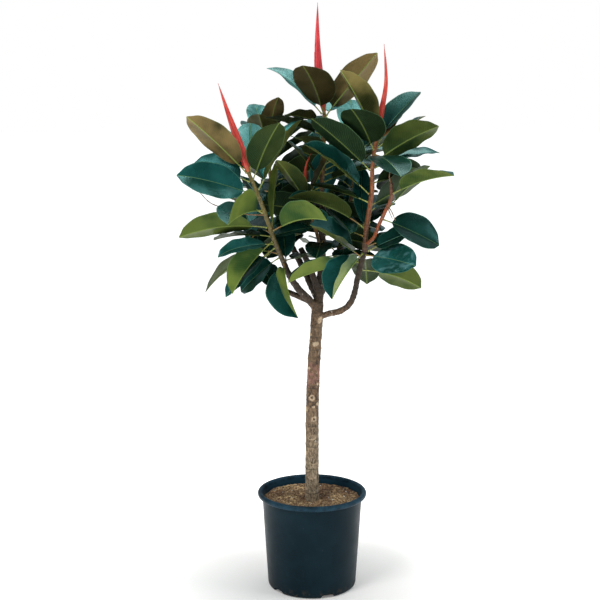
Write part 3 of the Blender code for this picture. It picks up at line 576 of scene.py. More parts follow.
def bark_material():
    s = Shader("bark")
    broad = s.noise(11, 4.0, rough=0.6)
    height = s.node("SeparateXYZ", {0: s.place}, 2)
    crust = s.noise(1, 6.0, s.stretched((150, 150, 80)), 0.72)
    fine = s.noise(1, 5.0, s.stretched((420, 420, 190)), 0.7)
    low = s.mix(s.steps(crust, 0.38, 0.62), (0.080, 0.056, 0.032), (0.46, 0.355, 0.230))
    high = s.mix(s.steps(crust, 0.38, 0.62), (0.030, 0.016, 0.008), (0.205, 0.118, 0.060))
    colour = s.mix(s.steps(height, 0.36, 0.62), low, high)
    worn = s.mix(crust, (0.16, 0.10, 0.055), (0.40, 0.27, 0.16))
    colour = s.tint(colour, s.steps(broad, 0.44, 0.60), 0.30, worn)
    # Painted shade: the bark at the fork and up the branches is darkened almost to black.
    colour = s.tint(colour, s.steps(height, 0.83, 0.95), 0.90, (0.018, 0.011, 0.0065))
    reach = s.steps(s.math("ABSOLUTE", s.math("SUBTRACT", height, 0.674)), 0.046, 0.030)
    pink = s.math("MULTIPLY", s.steps(s.noise(60, 4.0, rough=0.6), 0.40, 0.60), reach)
    colour = s.tint(colour, pink, 0.75, s.mix(crust, (0.17, 0.060, 0.040), (0.42, 0.215, 0.165)))
    lichen = s.steps(s.noise(55, 5.0, rough=0.7), 0.60, 0.70)
    colour = s.tint(colour, s.steps(fine, 0.44, 0.36), 0.6, (0.050, 0.034, 0.020))
    colour = s.tint(colour, lichen, 0.65, (0.60, 0.52, 0.42))
    pits = s.steps(s.noise(300, 3.0), 0.40, 0.30)
    colour = s.tint(colour, pits, 0.7, (0.025, 0.018, 0.012))
    colour = s.tint(colour, s.value("furrow"), 0.75, (0.045, 0.032, 0.022))
    scar = s.math("MULTIPLY", s.value("scar"), s.math("MULTIPLY_ADD", s.steps(fine, 0.34, 0.56), 0.55, 0.40))
    colour = s.mix(scar, colour, s.mix(crust, (0.44, 0.27, 0.14), (0.74, 0.60, 0.43)))
    s.set("Base Color", s.mix(s.value("cut"), colour, (0.42, 0.33, 0.20)))
    s.set("Roughness", s.math("MULTIPLY_ADD", crust, 0.25, 0.68))
    s.bump(s.math("ADD", crust, s.math("MULTIPLY", pits, -0.6)), 0.0012, 0.9)
    return s.material


def pot_material():
    s = Shader("pot_plastic", IOR=1.48, Specular_IOR_Level=0.10, Specular_Tint=(0.60, 0.85, 1.0, 1))
    height = s.node("SeparateXYZ", {0: s.place}, 2)
    cloud = s.noise(7, 4.0, rough=0.6)
    colour = s.mix(s.steps(cloud, 0.35, 0.7), (0.0042, 0.0125, 0.0180), (0.0072, 0.0190, 0.0265))
    scuffs = s.steps(s.noise(1, 6.0, s.stretched((60, 60, 18)), 0.7), 0.60, 0.74)
    colour = s.tint(colour, scuffs, 0.25, (0.014, 0.026, 0.032))
    dust = s.math("MULTIPLY", s.steps(height, 0.035, 0.002), s.steps(s.noise(60, 6.0, rough=0.7), 0.50, 0.62))
    colour = s.tint(colour, dust, 0.6, (0.085, 0.058, 0.038))
    specks = s.steps(s.noise(150, 2.0), 0.74, 0.78)
    colour = s.tint(colour, specks, 0.4, (0.08, 0.085, 0.08))
    # Painted light: the inner wall is painted lighter and bluer than the outside, where light falls into the
    # pot.
    colour = s.tint(colour, s.value("inside"), 0.8, (0.012, 0.040, 0.062))
    # Painted highlight: a lighter bluish band along the rim's bead, broken up by noise, stands in for the
    # gloss there.
    worn = s.math("MULTIPLY", s.value("rim"), s.steps(s.noise(24, 5.0, rough=0.65), 0.32, 0.66))
    colour = s.tint(colour, worn, 0.7, (0.026, 0.068, 0.105))
    s.set("Base Color", colour)
    rough = s.math("MULTIPLY_ADD", s.noise(20, 5.0, rough=0.65), 0.30, 0.26)
    s.set("Roughness", s.math("MULTIPLY_ADD", dust, 0.35, rough))
    s.bump(s.math("ADD", s.noise(650, 2.0), s.math("MULTIPLY", scuffs, 0.6)), 0.0003, 0.5)
    return s.material


def soil_material():
    s = Shader("soil", Roughness=0.95)
    patch = s.steps(s.noise(8, 5.0, rough=0.65), 0.45, 0.58)
    grain = s.steps(s.noise(110, 6.0, rough=0.75), 0.38, 0.62)
    dark = s.mix(grain, (0.016, 0.008, 0.004), (0.20, 0.092, 0.040))
    dry = s.mix(grain, (0.20, 0.120, 0.055), (0.62, 0.42, 0.21))
    colour = s.mix(patch, dark, dry)
    colour = s.mix(s.steps(s.noise(420, 2.0), 0.66, 0.72), colour, (0.55, 0.44, 0.28))
    s.set("Base Color", s.mix(s.steps(s.noise(240, 2.0), 0.36, 0.30), colour, (0.012, 0.008, 0.005)))
    s.bump(s.noise(340, 6.0, rough=0.75), 0.0025, 1.0)
    return s.material


def chip_material(name, dark, light):
    s = Shader(name, Roughness=0.9)
    grain = s.noise(380, 4.0, rough=0.7)
    s.set("Base Color", s.mix(s.steps(grain, 0.35, 0.65), dark, light))
    s.bump(grain, 0.0008, 0.8)
    return s.material


def floor_material():
    s = Shader("floor", Roughness=0.85, Emission_Color=(1, 1, 1, 1), Specular_IOR_Level=0.1)
    away = s.node("VectorMath", {0: s.place}, 1, operation="LENGTH")
    # Painted light: the floor glows, faintly round the pot and more further off, so it reads white far away
    # and stays darker round the pot.
    s.set("Emission Strength", s.math("MULTIPLY_ADD", s.steps(away, 0.15, 1.0), 0.72, 0.14))
    s.set("Base Color", s.mix(s.noise(3, 4.0), (0.87, 0.83, 0.79), (0.90, 0.86, 0.82)))
    return s.material


# --- leaves ----------------------------------------------------------------------------------
SIDE_COLUMNS = 8  # from the midrib to the margin
BLADE_STATIONS = 34
STALK_STATIONS = 7
FINE_STEPS = 240
STALK_RADIUS = 0.0017
FOOT_SWELL = 0.0013  # how much thicker the stalk is where it leaves the stem
BLADE_HALF_THICKNESS = 0.00055
RIB_HEIGHT, RIB_WIDTH = 0.0024, 0.0019
GROOVE_DEPTH, GROOVE_WIDTH = 0.0005, 0.0012
TOP, UNDER, STALK = range(3)  # places in LEAF_MATERIALS
LEAF_MATERIALS = [leaf_top_material(), leaf_under_material(), stalk_material()]


def leaf_outline(share):
    """Half the width of a blade, as a part of half its greatest width, drawn in to a short drip tip."""
    widest = BASE_TAPER / (BASE_TAPER + TIP_TAPER)
    most = widest**BASE_TAPER * (1 - widest) ** TIP_TAPER
    oval = share**BASE_TAPER * (1 - share) ** TIP_TAPER / most
    return oval * (1 - 0.35 * smoothstep(0.90, 0.985, share))


def leaf_slope(share, droop, curl):
    """How steeply the midrib runs at each share of a leaf, against its chord."""
    return droop * (0.5 - share) - curl * np.maximum(0, share / 0.4 - 1.5) ** 2


def leaf_route(stalk, length, droop, curl, sway, twist):
    """The midrib's stations: metres along, share of the blade, points, and directions to its left and up."""
    total = stalk + length
    slope = leaf_slope((np.arange(FINE_STEPS) + 0.5) / FINE_STEPS, droop, curl)
    step = total / FINE_STEPS
    path_x = np.concatenate([[0], np.cumsum(np.cos(slope)) * step])
    path_z = np.concatenate([[0], np.cumsum(np.sin(slope)) * step])
    knots = np.linspace(0, 1, FINE_STEPS + 1)

    blade = (1 - np.cos(np.pi * np.linspace(0.04, 1, BLADE_STATIONS))) / 2
    marks = np.concatenate([np.linspace(0, stalk, STALK_STATIONS), stalk + length * blade])
    share = marks / total
    t = np.clip((marks - stalk) / length, 0, 1)
    x, z = np.interp(share, knots, path_x), np.interp(share, knots, path_z)
    centre = np.stack([x, sway * np.sin(np.pi * t), z], 1)
    tilt = leaf_slope(share, droop, curl)
    plain_up = np.stack([-np.sin(tilt), 0 * tilt, np.cos(tilt)], 1)
    plain_side = np.array([0, 1.0, 0])
    turn = (twist * (t - 0.3))[:, None]
    side = np.cos(turn) * plain_side + np.sin(turn) * plain_up
    up = np.cos(turn) * plain_up - np.sin(turn) * plain_side
    return marks, t, centre, side, up


def leaf_columns(t, width, fold, cup):
    """Columns from the midrib to the margin at each station: metres out, share of the half width, the
    blade's angle, and how far to the side and up the folded blade has them."""
    parts = np.array([0, 0.05, 0.10, 0.18, 0.32, 0.50, 0.70, 0.88, 1.0])
    nearest = np.array([0, 0.0008, 0.0017, 0.0034])  # the most the first four may be out, for the rib
    half = np.maximum(width / 2 * leaf_outline(t), 0.0005)
    out = half[:, None] * parts[None, :]
    out[:, :4] = np.minimum(out[:, :4], nearest[None, :])
    w = out / half[:, None]
    angle = fold + cup * (w - 0.5)
    mid_angle = fold + cup * ((w[:, 1:] + w[:, :-1]) / 2 - 0.5)
    spans = np.diff(out, axis=1)
    start = np.zeros((len(t), 1))
    flat = np.concatenate([start, np.cumsum(np.cos(mid_angle) * spans, 1)], 1)
    rise = np.concatenate([start, np.cumsum(np.sin(mid_angle) * spans, 1)], 1)
    return out, w, angle, flat, rise


def leaf_mesh(name, row, rng):
    """One closed skin from the stalk's foot to the tip: round in the stalk, lens-thin in the blade."""
    stalk, length, width, droop, fold, curl, teal_bloom_and_reflection, brown, underside_painted_light = row[5:]
    droop, fold, curl = (math.radians(a) for a in (droop, fold, curl))
    sway, twist = rng.uniform(-0.004, 0.004), math.radians(rng.uniform(-7, 7))
    cup = math.radians(rng.uniform(-28, 4)) * (0.5 + fold)
    waves, phase = rng.uniform(2.2, 3.6), [rng.uniform(0, 6.28) for _ in range(2)]
    ripple = rng.uniform(0.0010, 0.0026)
    marks, t, centre, side, up = leaf_route(stalk, length, droop, curl, sway, twist)
    out, w, angle, flat, rise = leaf_columns(t, width, fold, cup)

    swell = FOOT_SWELL * np.exp(-marks / 0.006) + 0.0002 * smoothstep(stalk * 0.6, stalk, marks)
    stalk_radius = STALK_RADIUS + swell
    mix = smoothstep(0.0, 0.045, t)  # 0 in the stalk and 1 in the blade
    thick = BLADE_HALF_THICKNESS * np.sqrt(np.clip(1 - w**2, 0, 1))
    rib = (RIB_HEIGHT * (1 - t) ** 0.8 + 0.0002)[:, None] * np.exp(-((out / RIB_WIDTH) ** 2))
    groove = GROOVE_DEPTH * np.exp(-((out / GROOVE_WIDTH) ** 2))

    rings, lateral, margin = [], [], []
    columns = list(range(-SIDE_COLUMNS, SIDE_COLUMNS + 1))
    for k, face in [(k, 1) for k in columns] + [(k, -1) for k in columns[-2:0:-1]]:
        i, sign = abs(k), (1 if k >= 0 else -1)
        wave = np.sin(2 * math.pi * waves * t + phase[sign > 0])
        lift = ripple * w[:, i] ** 2 * wave * np.sin(np.pi * t) ** 0.6
        skin = np.where(face > 0, thick[:, i] - groove[:, i], -thick[:, i] - rib[:, i])
        blade_y = sign * flat[:, i] - sign * np.sin(angle[:, i]) * skin
        blade_z = rise[:, i] + np.cos(angle[:, i]) * skin + lift
        round_angle = math.pi / 2 * k / SIDE_COLUMNS
        y = stalk_radius * math.sin(round_angle) * (1 - mix) + blade_y * mix
        z = face * stalk_radius * math.cos(round_angle) * (1 - mix) + blade_z * mix
        rings.append(centre + side * y[:, None] + up * z[:, None])
        lateral.append(sign * out[:, i])
        margin.append(w[:, i] * mix)
    rings = np.stack(rings, 1)[:-1]  # the last station is the tip, one point
    count, size = rings.shape[:2]
    verts = np.concatenate([rings.reshape(-1, 3), centre[-1:]])
    last = (count - 1) * size
    faces = [tuple(range(size))[::-1]] + ring_faces(count, size)
    faces += [(last + j, last + (j + 1) % size, count * size) for j in range(size)]
    skins = [TOP if j < 2 * SIDE_COLUMNS else UNDER for j in range(size)]
    kinds = [STALK]
    for end in marks[1:count]:
        kinds += [STALK] * size if end <= stalk else skins
    kinds += skins

    mesh = mesh_from(name, verts, [face[::-1] for face in faces], 50)
    mesh.polygons.foreach_set("material_index", kinds)
    along = np.append(np.repeat(marks[:count], size), marks[-1]) - stalk
    across = np.append(np.stack(lateral, 1)[:count].ravel(), 0)
    corner_values(mesh, "blade", np.stack([along, across], 1))
    vertex_values(mesh, "margin", np.append(np.stack(margin, 1)[:count].ravel(), 1))
    looks = {"teal_bloom_and_reflection": max(teal_bloom_and_reflection, 0), "brown": brown, "underside_painted_light": underside_painted_light, "dried": float(teal_bloom_and_reflection < 0)}
    for key, value in looks.items():
        vertex_values(mesh, key, np.full(len(verts), value))
    return mesh


PLACED = []  # each leaf's lowest and highest corner and its tree of faces


def leaf_in_place(name, row, seed):
    """A leaf's mesh where it grows on its stem."""
    stem, share, heading, pitch, roll, _, _, _, droop = row[:9]
    mesh = leaf_mesh(name, row, random.Random(seed))
    turn = Matrix.Rotation(math.radians(heading), 3, "Z") @ Matrix.Rotation(-math.radians(pitch), 3, "Y")
    turn = turn @ Matrix.Rotation(math.radians(roll), 3, "X")
    first = Matrix.Rotation(-math.radians(droop) / 2, 3, "Y")  # a leaf that droops starts upwards
    place = stand_off(STEMS[stem], share, turn @ first @ Vector((1, 0, 0)), STALK_THICKNESS)
    mesh.transform(Matrix.Translation(place) @ turn.to_4x4())
    return mesh


def shape_of(mesh):
    """(lowest corner, highest corner, tree of faces) of a mesh."""
    co = coords(mesh)
    tree = BVHTree.FromPolygons([tuple(v) for v in co], [tuple(face.vertices) for face in mesh.polygons])
    return co.min(0), co.max(0), tree


def meets_another(shape):
    low, high, tree = shape
    for other_low, other_high, other in PLACED:
        if (low < other_high).all() and (other_low < high).all() and tree.overlap(other):
            return True
    return False


def add_leaf(name, row, seed, *nodes):
    mesh = leaf_in_place(name, row, seed)
    PLACED.append(shape_of(mesh))
    add_piece(name, mesh, LEAF_MATERIALS, "leaf", *nodes)


def add_fill_leaf(name, row, seed):
    """Turns a leaf a little at a time until it meets nothing, and leaves it out if that can't be."""
    for heading, pitch, roll in NUDGES:
        turned = (row[2] + heading, row[3] + pitch, row[4] + roll)
        mesh = leaf_in_place(name, row[:2] + turned + row[5:], seed)
        shape = shape_of(mesh)
        if not meets_another(shape):
            PLACED.append(shape)
            add_piece(name, mesh, LEAF_MATERIALS, "leaf")
            return
        bpy.data.meshes.remove(mesh)


def grow_dense_leaves():
    """Tries leaves in a spiral up each stem. Keeps those that meet nothing and leave the front clear."""
    for number, (stem, (start, end, count, front)) in enumerate(DENSE_STEMS.items()):
        rng = random.Random(900 + number)
        for i in range(count):
            share = start + (end - start) * i / (count - 1)
            for turn in range(DENSE_TURNS):
                heading = (number * 51 + i * 137.5 + turn * 47 + rng.uniform(-12, 12)) % 360
                pitch = rng.uniform(-28, 12) + 50 * share
                length, shade = rng.uniform(0.120, 0.185), rng.random()
                row = (stem, share, heading, pitch, rng.uniform(-25, 25), rng.uniform(0.024, 0.04), length)
                row += (length * rng.uniform(0.52, 0.66), rng.uniform(12, 30), rng.uniform(8, 34), 0)
                row += (0.05 + 0.45 * shade, 0.4 * rng.random(), 0.35 * rng.random())
                mesh = leaf_in_place(f"{stem}_leaf_{i + 1}", row, 2000 + number * 100 + i)
                co = coords(mesh)
                inside = (co > DENSE_LOW).all() and (co < DENSE_HIGH).all() and co[:, 1].min() > front
                blocks = ((co > CLEAR_LOW) & (co < CLEAR_HIGH)).all(1).any()
                shape = shape_of(mesh)
                if inside and not blocks and not meets_another(shape):
                    PLACED.append(shape)
                    add_piece(mesh.name, mesh, LEAF_MATERIALS, "leaf")
                    break
                bpy.data.meshes.remove(mesh)


# --- stems -----------------------------------------------------------------------------------
def tube_mesh(name, route, radii, sides, relief=None):
    """A closed tube along a route. relief(distance, angle) gives how far its skin stands out, in metres.
    Returns the mesh and each vertex's share along and angle."""
    points = np.array([tuple(p) for p in route])
    tangents = np.gradient(points, axis=0)
    tangents /= np.linalg.norm(tangents, axis=1)[:, None]
    distance = np.concatenate([[0], np.cumsum(np.linalg.norm(np.diff(points, axis=0), axis=1))])
    normal = Vector(tangents[0]).orthogonal().normalized()
    verts, shares, angles = [], [], []
    for i, (point, tangent) in enumerate(zip(points, tangents)):
        tangent = Vector(tangent)
        normal = (normal - tangent * normal.dot(tangent)).normalized()
        other = tangent.cross(normal)
        for j in range(sides):
            angle = 2 * math.pi * j / sides
            radius = radii[i] + (relief(distance[i], angle) if relief else 0)
            verts.append(Vector(point) + (normal * math.cos(angle) + other * math.sin(angle)) * radius)
            shares.append(distance[i] / distance[-1])
            angles.append(angle)
    faces = [tuple(range(sides))[::-1]] + ring_faces(len(points), sides)
    faces.append(tuple(range((len(points) - 1) * sides, len(points) * sides)))
    return mesh_from(name, verts, faces, 60), np.array(shares), np.array(angles)


def resample(route, radii, spacing):
    """The same route and radii at an even, finer spacing."""
    points = np.array([tuple(p) for p in route])
    distance = np.concatenate([[0], np.cumsum(np.linalg.norm(np.diff(points, axis=0), axis=1))])
    count = max(8, int(distance[-1] / spacing))
    marks = np.linspace(0, distance[-1], count + 1)
    fine = np.stack([np.interp(marks, distance, points[:, i]) for i in range(3)], 1)
    for _ in range(6):
        fine[1:-1] = fine[1:-1] / 2 + (fine[:-2] + fine[2:]) / 4
    return fine, np.interp(marks, distance, radii)


STEMS = {}


def plan_stems():
    """Fills STEMS with every centre line, as the CAD lays them out. Returns what each shoot is drawn from."""
    drawn = {}
    for name, (points, start, end) in BRANCHES.items():
        STEMS[name] = Stem(from_fork(points), start, end)
    for name, (branch, points, red) in SHOOTS.items():
        end, along, radius = STEMS[branch].at(1)
        STEMS[name] = Stem([end + along * CLEARANCE] + from_fork(points), radius * 0.9, SHOOT_RADIUS)
        drawn[name] = (along, red)
    for name, (branch, share, points, red) in SIDE_SHOOTS.items():
        points = from_fork(points)
        towards = (points[0] - STEMS[branch].at(share)[0]).normalized()
        start = stand_off(STEMS[branch], share, towards, 2 * SHOOT_RADIUS)
        STEMS[name] = Stem([start] + points, SHOOT_RADIUS, SHOOT_RADIUS)
        drawn[name] = (towards, red)
    for name, (along, _) in drawn.items():
        stem = STEMS[name]
        stem.route.insert(1, stem.route[0] + along * COLLAR)
        stem.radii.insert(1, stem.radii[0])
    return drawn


def add_shoots(drawn):
    made = shoot_material()
    for number, (name, (_, red)) in enumerate(drawn.items()):
        stem = STEMS[name]
        route, radii = resample(stem.route, stem.radii, 0.0022)
        rng = random.Random(100 + number)
        length = route_length(stem.route)
        scars, place = [], 0.008
        while place < length:
            scars.append((place, rng.uniform(0, 6.28)))
            place += rng.uniform(0.011, 0.019)

        def relief(distance, angle):
            ring = 0
            for at, lean in scars:
                ring += math.exp(-(((distance - at) / 0.0011) ** 2)) * (0.75 + 0.25 * math.cos(angle - lean))
            return 0.0006 * ring + 0.0003 * math.sin(3 * angle + distance * 90)

        mesh, shares, angles = tube_mesh(name + "_skin", route, radii, 20, relief)
        rings = np.zeros(len(shares))
        for at, lean in scars:
            rings += np.exp(-(((shares * length - at) / 0.0013) ** 2))
        # a shoot is old and brown at its foot, but the side shoot has died back at its top
        vertex_values(mesh, "along", 1 - shares if name == "side_shoot" else shares)
        vertex_values(mesh, "node_ring", np.clip(rings, 0, 1))
        vertex_values(mesh, "red", np.full(len(shares), red))
        add_piece(name + "_bark", mesh, [made], "young_bark", name)


def add_twigs():
    """A bare stalk that lost its leaf, and dried scales that hang on the dead top of the side shoot."""
    bare = STEMS["left_shoot"].at(0.52)[0]
    top = STEMS["side_shoot"].at(0.64)[0]
    tip = STEMS["side_shoot"].at(1)[0]
    twigs = {
        "bare_stalk": (
            [bare, bare + Vector((-0.060, 0.012, 0.002)), Vector((-0.268, -0.108, 1.198)),
             Vector((-0.302, -0.106, 1.212)), Vector((-0.330, -0.104, 1.240))], 0.0019, 0.0010),
        "dried_scale_1": (
            [top, top + Vector((0.010, -0.010, -0.012)), top + Vector((0.022, -0.013, -0.040))],
            0.0019, 0.0009),
        "dried_scale_2": (
            [top, top + Vector((0.004, -0.012, -0.014)), top + Vector((0.013, -0.013, -0.034))],
            0.0017, 0.0008),
        "dried_scale_3": (
            [tip, tip + Vector((-0.006, -0.004, 0.018)), tip + Vector((-0.003, -0.006, 0.036))],
            0.0030, 0.0007),
    }
    made = chip_material("dried_stalk", (0.060, 0.028, 0.012), (0.34, 0.17, 0.075))

    def relief(distance, angle):
        return 0.0002 * math.sin(2 * angle + distance * 300)

    for name, (points, start, end) in twigs.items():
        route = curve_through(points, 6)
        radii = [start + (end - start) * i / (len(route) - 1) for i in range(len(route))]
        route, radii = resample(route, radii, 0.002)
        mesh, _, _ = tube_mesh(name, route, radii, 10, relief)
        add_piece(name, mesh, [made], "young_bark")


def add_sheaths():
    made = sheath_material()
    for number, (name, (shoot, widest, points, warm)) in enumerate(SHEATHS.items()):
        end, along, radius = STEMS[shoot].at(1)
        route = curve_through([end + along * CLEARANCE] + from_fork(points), 24)
        length = route_length(route)
        route, _ = resample(route, [0] * len(route), 0.0022)
        share = np.linspace(0, 1, len(route))
        rise = radius + (widest - radius) * np.sin(np.pi / 2 * np.clip(share / SHEATH_BELLY, 0, 1))
        fall = widest * (np.clip(1 - share, 0, 1) / (1 - SHEATH_BELLY)) ** 0.85
        radii = np.maximum(np.where(share < SHEATH_BELLY, rise, fall), 0.0007)
        seam = 1.3 + number

        def relief(distance, angle):
            # the sheath is one scale wrapped round, so its edge winds up it as a low step
            wound = (angle - seam - distance / length * 2.2) % (2 * math.pi)
            step = math.exp(-wound / 0.25) * 0.0011
            flutes = 0.00022 * math.sin(9 * angle + distance * 25)
            return (step + flutes) * min(1, (1 - distance / length) * 5)

        mesh, shares, angles = tube_mesh(name + "_skin", route, radii, 40, relief)
        vertex_values(mesh, "along", shares)
        vertex_values(mesh, "warm", np.full(len(shares), warm))
        corner_values(mesh, "skin", np.stack([np.cos(angles) * 9 + 20 * number, shares * length * 30], 1))
        add_piece(name + "_skin", mesh, [made], "sheath", name)


# Marks on the trunk's bark: height, angle round it (-90 is the front), half width and half height in
# metres, and kind.
BARK_MARKS = [
    (0.772, -92, 0.0110, 0.0076, "scar"), (0.604, -100, 0.0086, 0.0082, "knot"),
    (0.536, -78, 0.0078, 0.0086, "knot"), (0.475, -97, 0.0125, 0.0072, "crescent"),
    (0.350, -94, 0.0135, 0.0076, "crescent"), (0.566, -158, 0.0060, 0.0086, "scar"),
    (0.575, -82, 0.0050, 0.0040, "scar"), (0.583, -40, 0.0065, 0.0060, "scar"),
    (0.427, -152, 0.0060, 0.0070, "scar"), (0.394, -68, 0.0120, 0.0040, "crescent"),
    (0.696, -140, 0.0050, 0.0042, "scar"), (0.646, -50, 0.0050, 0.0050, "scar"),
    (0.846, -60, 0.0085, 0.0110, "scar"), (0.312, -150, 0.0080, 0.0060, "scar"),
    (0.500, 10, 0.0100, 0.0060, "crescent"), (0.640, 40, 0.0095, 0.0065, "scar"),
    (0.735, 100, 0.0100, 0.0060, "crescent"), (0.455, 95, 0.0085, 0.0080, "knot"),
    (0.380, 150, 0.0110, 0.0065, "crescent"), (0.560, 170, 0.0090, 0.0065, "scar"),
    (0.800, 200, 0.0090, 0.0060, "scar"), (0.325, 80, 0.0120, 0.0065, "crescent"),
]
BARK_VOXEL = 0.0020
STUB_END = Vector((-0.052, -0.020, 0.168))  # from the fork, where a branch was cut off
BARK_RINGS = [0.298, 0.376, 0.448, 0.512, 0.590, 0.632, 0.641, 0.718, 0.752, 0.794, 0.823, 0.858]


def trunk_axis(height):
    """Where the trunk's centre is at a height, from the soil to the fork."""
    return np.interp(height, [0.27, 0.40, 0.59, 0.72, 0.82, 0.90], [0, 0.000, 0.002, 0.0066, 0.013, 0.0165])


def add_trunk():
    """The CAD's trunk and branches, remeshed fine, eased at the forks and given bark."""
    source = linked("trunk_source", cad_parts["trunk"].data.copy())
    weld = source.modifiers.new("weld", "WELD")
    weld.merge_threshold = 0.00002
    remesh = source.modifiers.new("remesh", "REMESH")
    remesh.mode = "VOXEL"
    remesh.voxel_size = BARK_VOXEL
    ease = source.modifiers.new("ease", "SMOOTH")
    ease.iterations = 8
    ease.factor = 0.5
    mesh = with_modifiers(source, "trunk_bark")

    co = coords(mesh)
    normals = np.empty(len(co) * 3)
    mesh.vertices.foreach_get("normal", normals)
    normals = normals.reshape(-1, 3)
    on_trunk = smoothstep(0.905, 0.875, co[:, 2])
    around = np.arctan2(co[:, 1], co[:, 0] - trunk_axis(co[:, 2]))
    lumps = noise_at(co, 42, 3.0, 2)
    grain = noise_at(co * np.array([1, 1, 0.55]), 190, 9.0, 3)
    wobble = noise_at(co, 30, 21.0, 2) * 0.003
    ragged, ragged_up = noise_at(co, 170, 33.0, 2), noise_at(co, 170, 47.0, 2)
    push = 0.0006 + 0.0011 * lumps + 0.0006 * grain
    furrow, scar = np.zeros(len(co)), np.zeros(len(co))
    for height in BARK_RINGS:
        off = co[:, 2] + wobble - height
        furrow = np.maximum(furrow, np.exp(-((off / 0.0016) ** 2)) * on_trunk)
        push += 0.0009 * np.exp(-(((off - 0.004) / 0.003) ** 2)) * on_trunk
    for height, angle, wide, tall, kind in BARK_MARKS:
        turn = (around - math.radians(angle) + math.pi) % (2 * math.pi) - math.pi
        u = turn * 0.020 / wide + 0.30 * ragged
        v = (co[:, 2] - height) / tall + 0.30 * ragged_up
        r = np.sqrt(u**2 + v**2)
        if kind == "scar":
            mask = smoothstep(1.15, 0.75, r)
            push += (0.0008 * mask - 0.0006 * smoothstep(0.6, 0.2, r)) * on_trunk
        elif kind == "knot":
            mask = np.exp(-(((r - 0.8) / 0.28) ** 2))
            push += (0.0014 * mask - 0.0012 * smoothstep(0.6, 0.1, r)) * on_trunk
            furrow = np.maximum(furrow, smoothstep(0.5, 0.15, r) * on_trunk)
        else:
            bent = np.abs(v + 0.55 - 0.75 * u**2)
            mask = smoothstep(0.42, 0.12, bent) * smoothstep(1.1, 0.8, np.abs(u))
            push += 0.0010 * mask * on_trunk
        scar = np.maximum(scar, mask * on_trunk)
    above = 1 - on_trunk
    bands = np.sin(co[:, 2] * 330 + noise_at(co, 25, 5.0, 2) * 5)
    push += above * 0.0005 * bands
    furrow = np.maximum(furrow, above * smoothstep(0.80, 0.98, -bands) * 0.7)
    reach = np.linalg.norm(co - np.array(FORK + STUB_END), axis=1)
    cut = smoothstep(0.0105, 0.0090, reach) * (normals[:, 2] > 0.6)
    push *= 1 - 0.9 * cut
    buried = smoothstep(SOIL_HIGH.z - 0.012, SOIL_HIGH.z - 0.004, co[:, 2])
    push *= buried
    mesh.vertices.foreach_set("co", (co + normals * push[:, None]).ravel())
    mesh.update()
    mesh.shade_smooth()
    for key, value in (("furrow", furrow), ("scar", scar), ("cut", cut)):
        vertex_values(mesh, key, np.clip(value, 0, 1))
    add_piece("trunk_bark", mesh, [bark_material()], "bark", "trunk")


# --- pot and soil ----------------------------------------------------------------------------
POT_STEPS = 192
SOIL_STEPS, SOIL_RINGS = 240, 84
SOIL_HOLE = 0.0185  # inside the trunk's bark
SOIL_SINK = 0.0045  # how far below the CAD's top the surface would be without its dish and bumps
CRUMB_FIELD, CRUMB_FREE = 0.146, 0.026  # crumbs lie between these radii


def wall_radius(height):
    share = (height - CORNER) / (POT_HEIGHT - RIM_DEPTH - CORNER)
    return POT_BASE_RADIUS + (POT_TOP_RADIUS - POT_BASE_RADIUS) * share


def pot_profile():
    """The pot's section as (radius, height): up its inside, over the rolled rim, down its outside to the
    foot and back under the base."""
    low, mid = POT_HEIGHT - RIM_DEPTH, POT_HEIGHT - RIM_DEPTH / 2
    neck, base = wall_radius(low), POT_BASE_RADIUS
    bead = (POT_RIM_RADIUS - POT_TOP_RADIUS) / 2
    centre = POT_RIM_RADIUS - bead
    profile = [(0, 0.0045), (0.06, 0.0040), (base - POT_WALL - 0.008, 0.0040)]
    profile += [(wall_radius(h) - POT_WALL, h) for h in np.linspace(0.014, low - 0.004, 26)]
    profile += [(neck - POT_WALL + 0.0008, low + 0.003), (neck - POT_WALL + 0.0035, low + 0.0085)]
    for i in range(19):
        angle = math.radians(165 - i * 15)
        radius, height = centre + bead * math.cos(angle), mid + RIM_DEPTH / 2 * math.sin(angle)
        if radius >= centre - bead * 0.5 or height >= mid:
            profile.append((radius, height))
    profile += [(neck + 0.0010, low + 0.0012), (neck, low - 0.0006)]
    profile += [(wall_radius(h), h) for h in np.linspace(low - 0.003, CORNER, 30)]
    profile += [(base - 0.0012, 0.0055), (base - 0.0040, 0.0018), (base - 0.0085, 0.0)]
    profile += [(base - 0.016, 0.0), (base - 0.019, 0.0012), (0.05, 0.0012), (0, 0.0012)]
    return profile


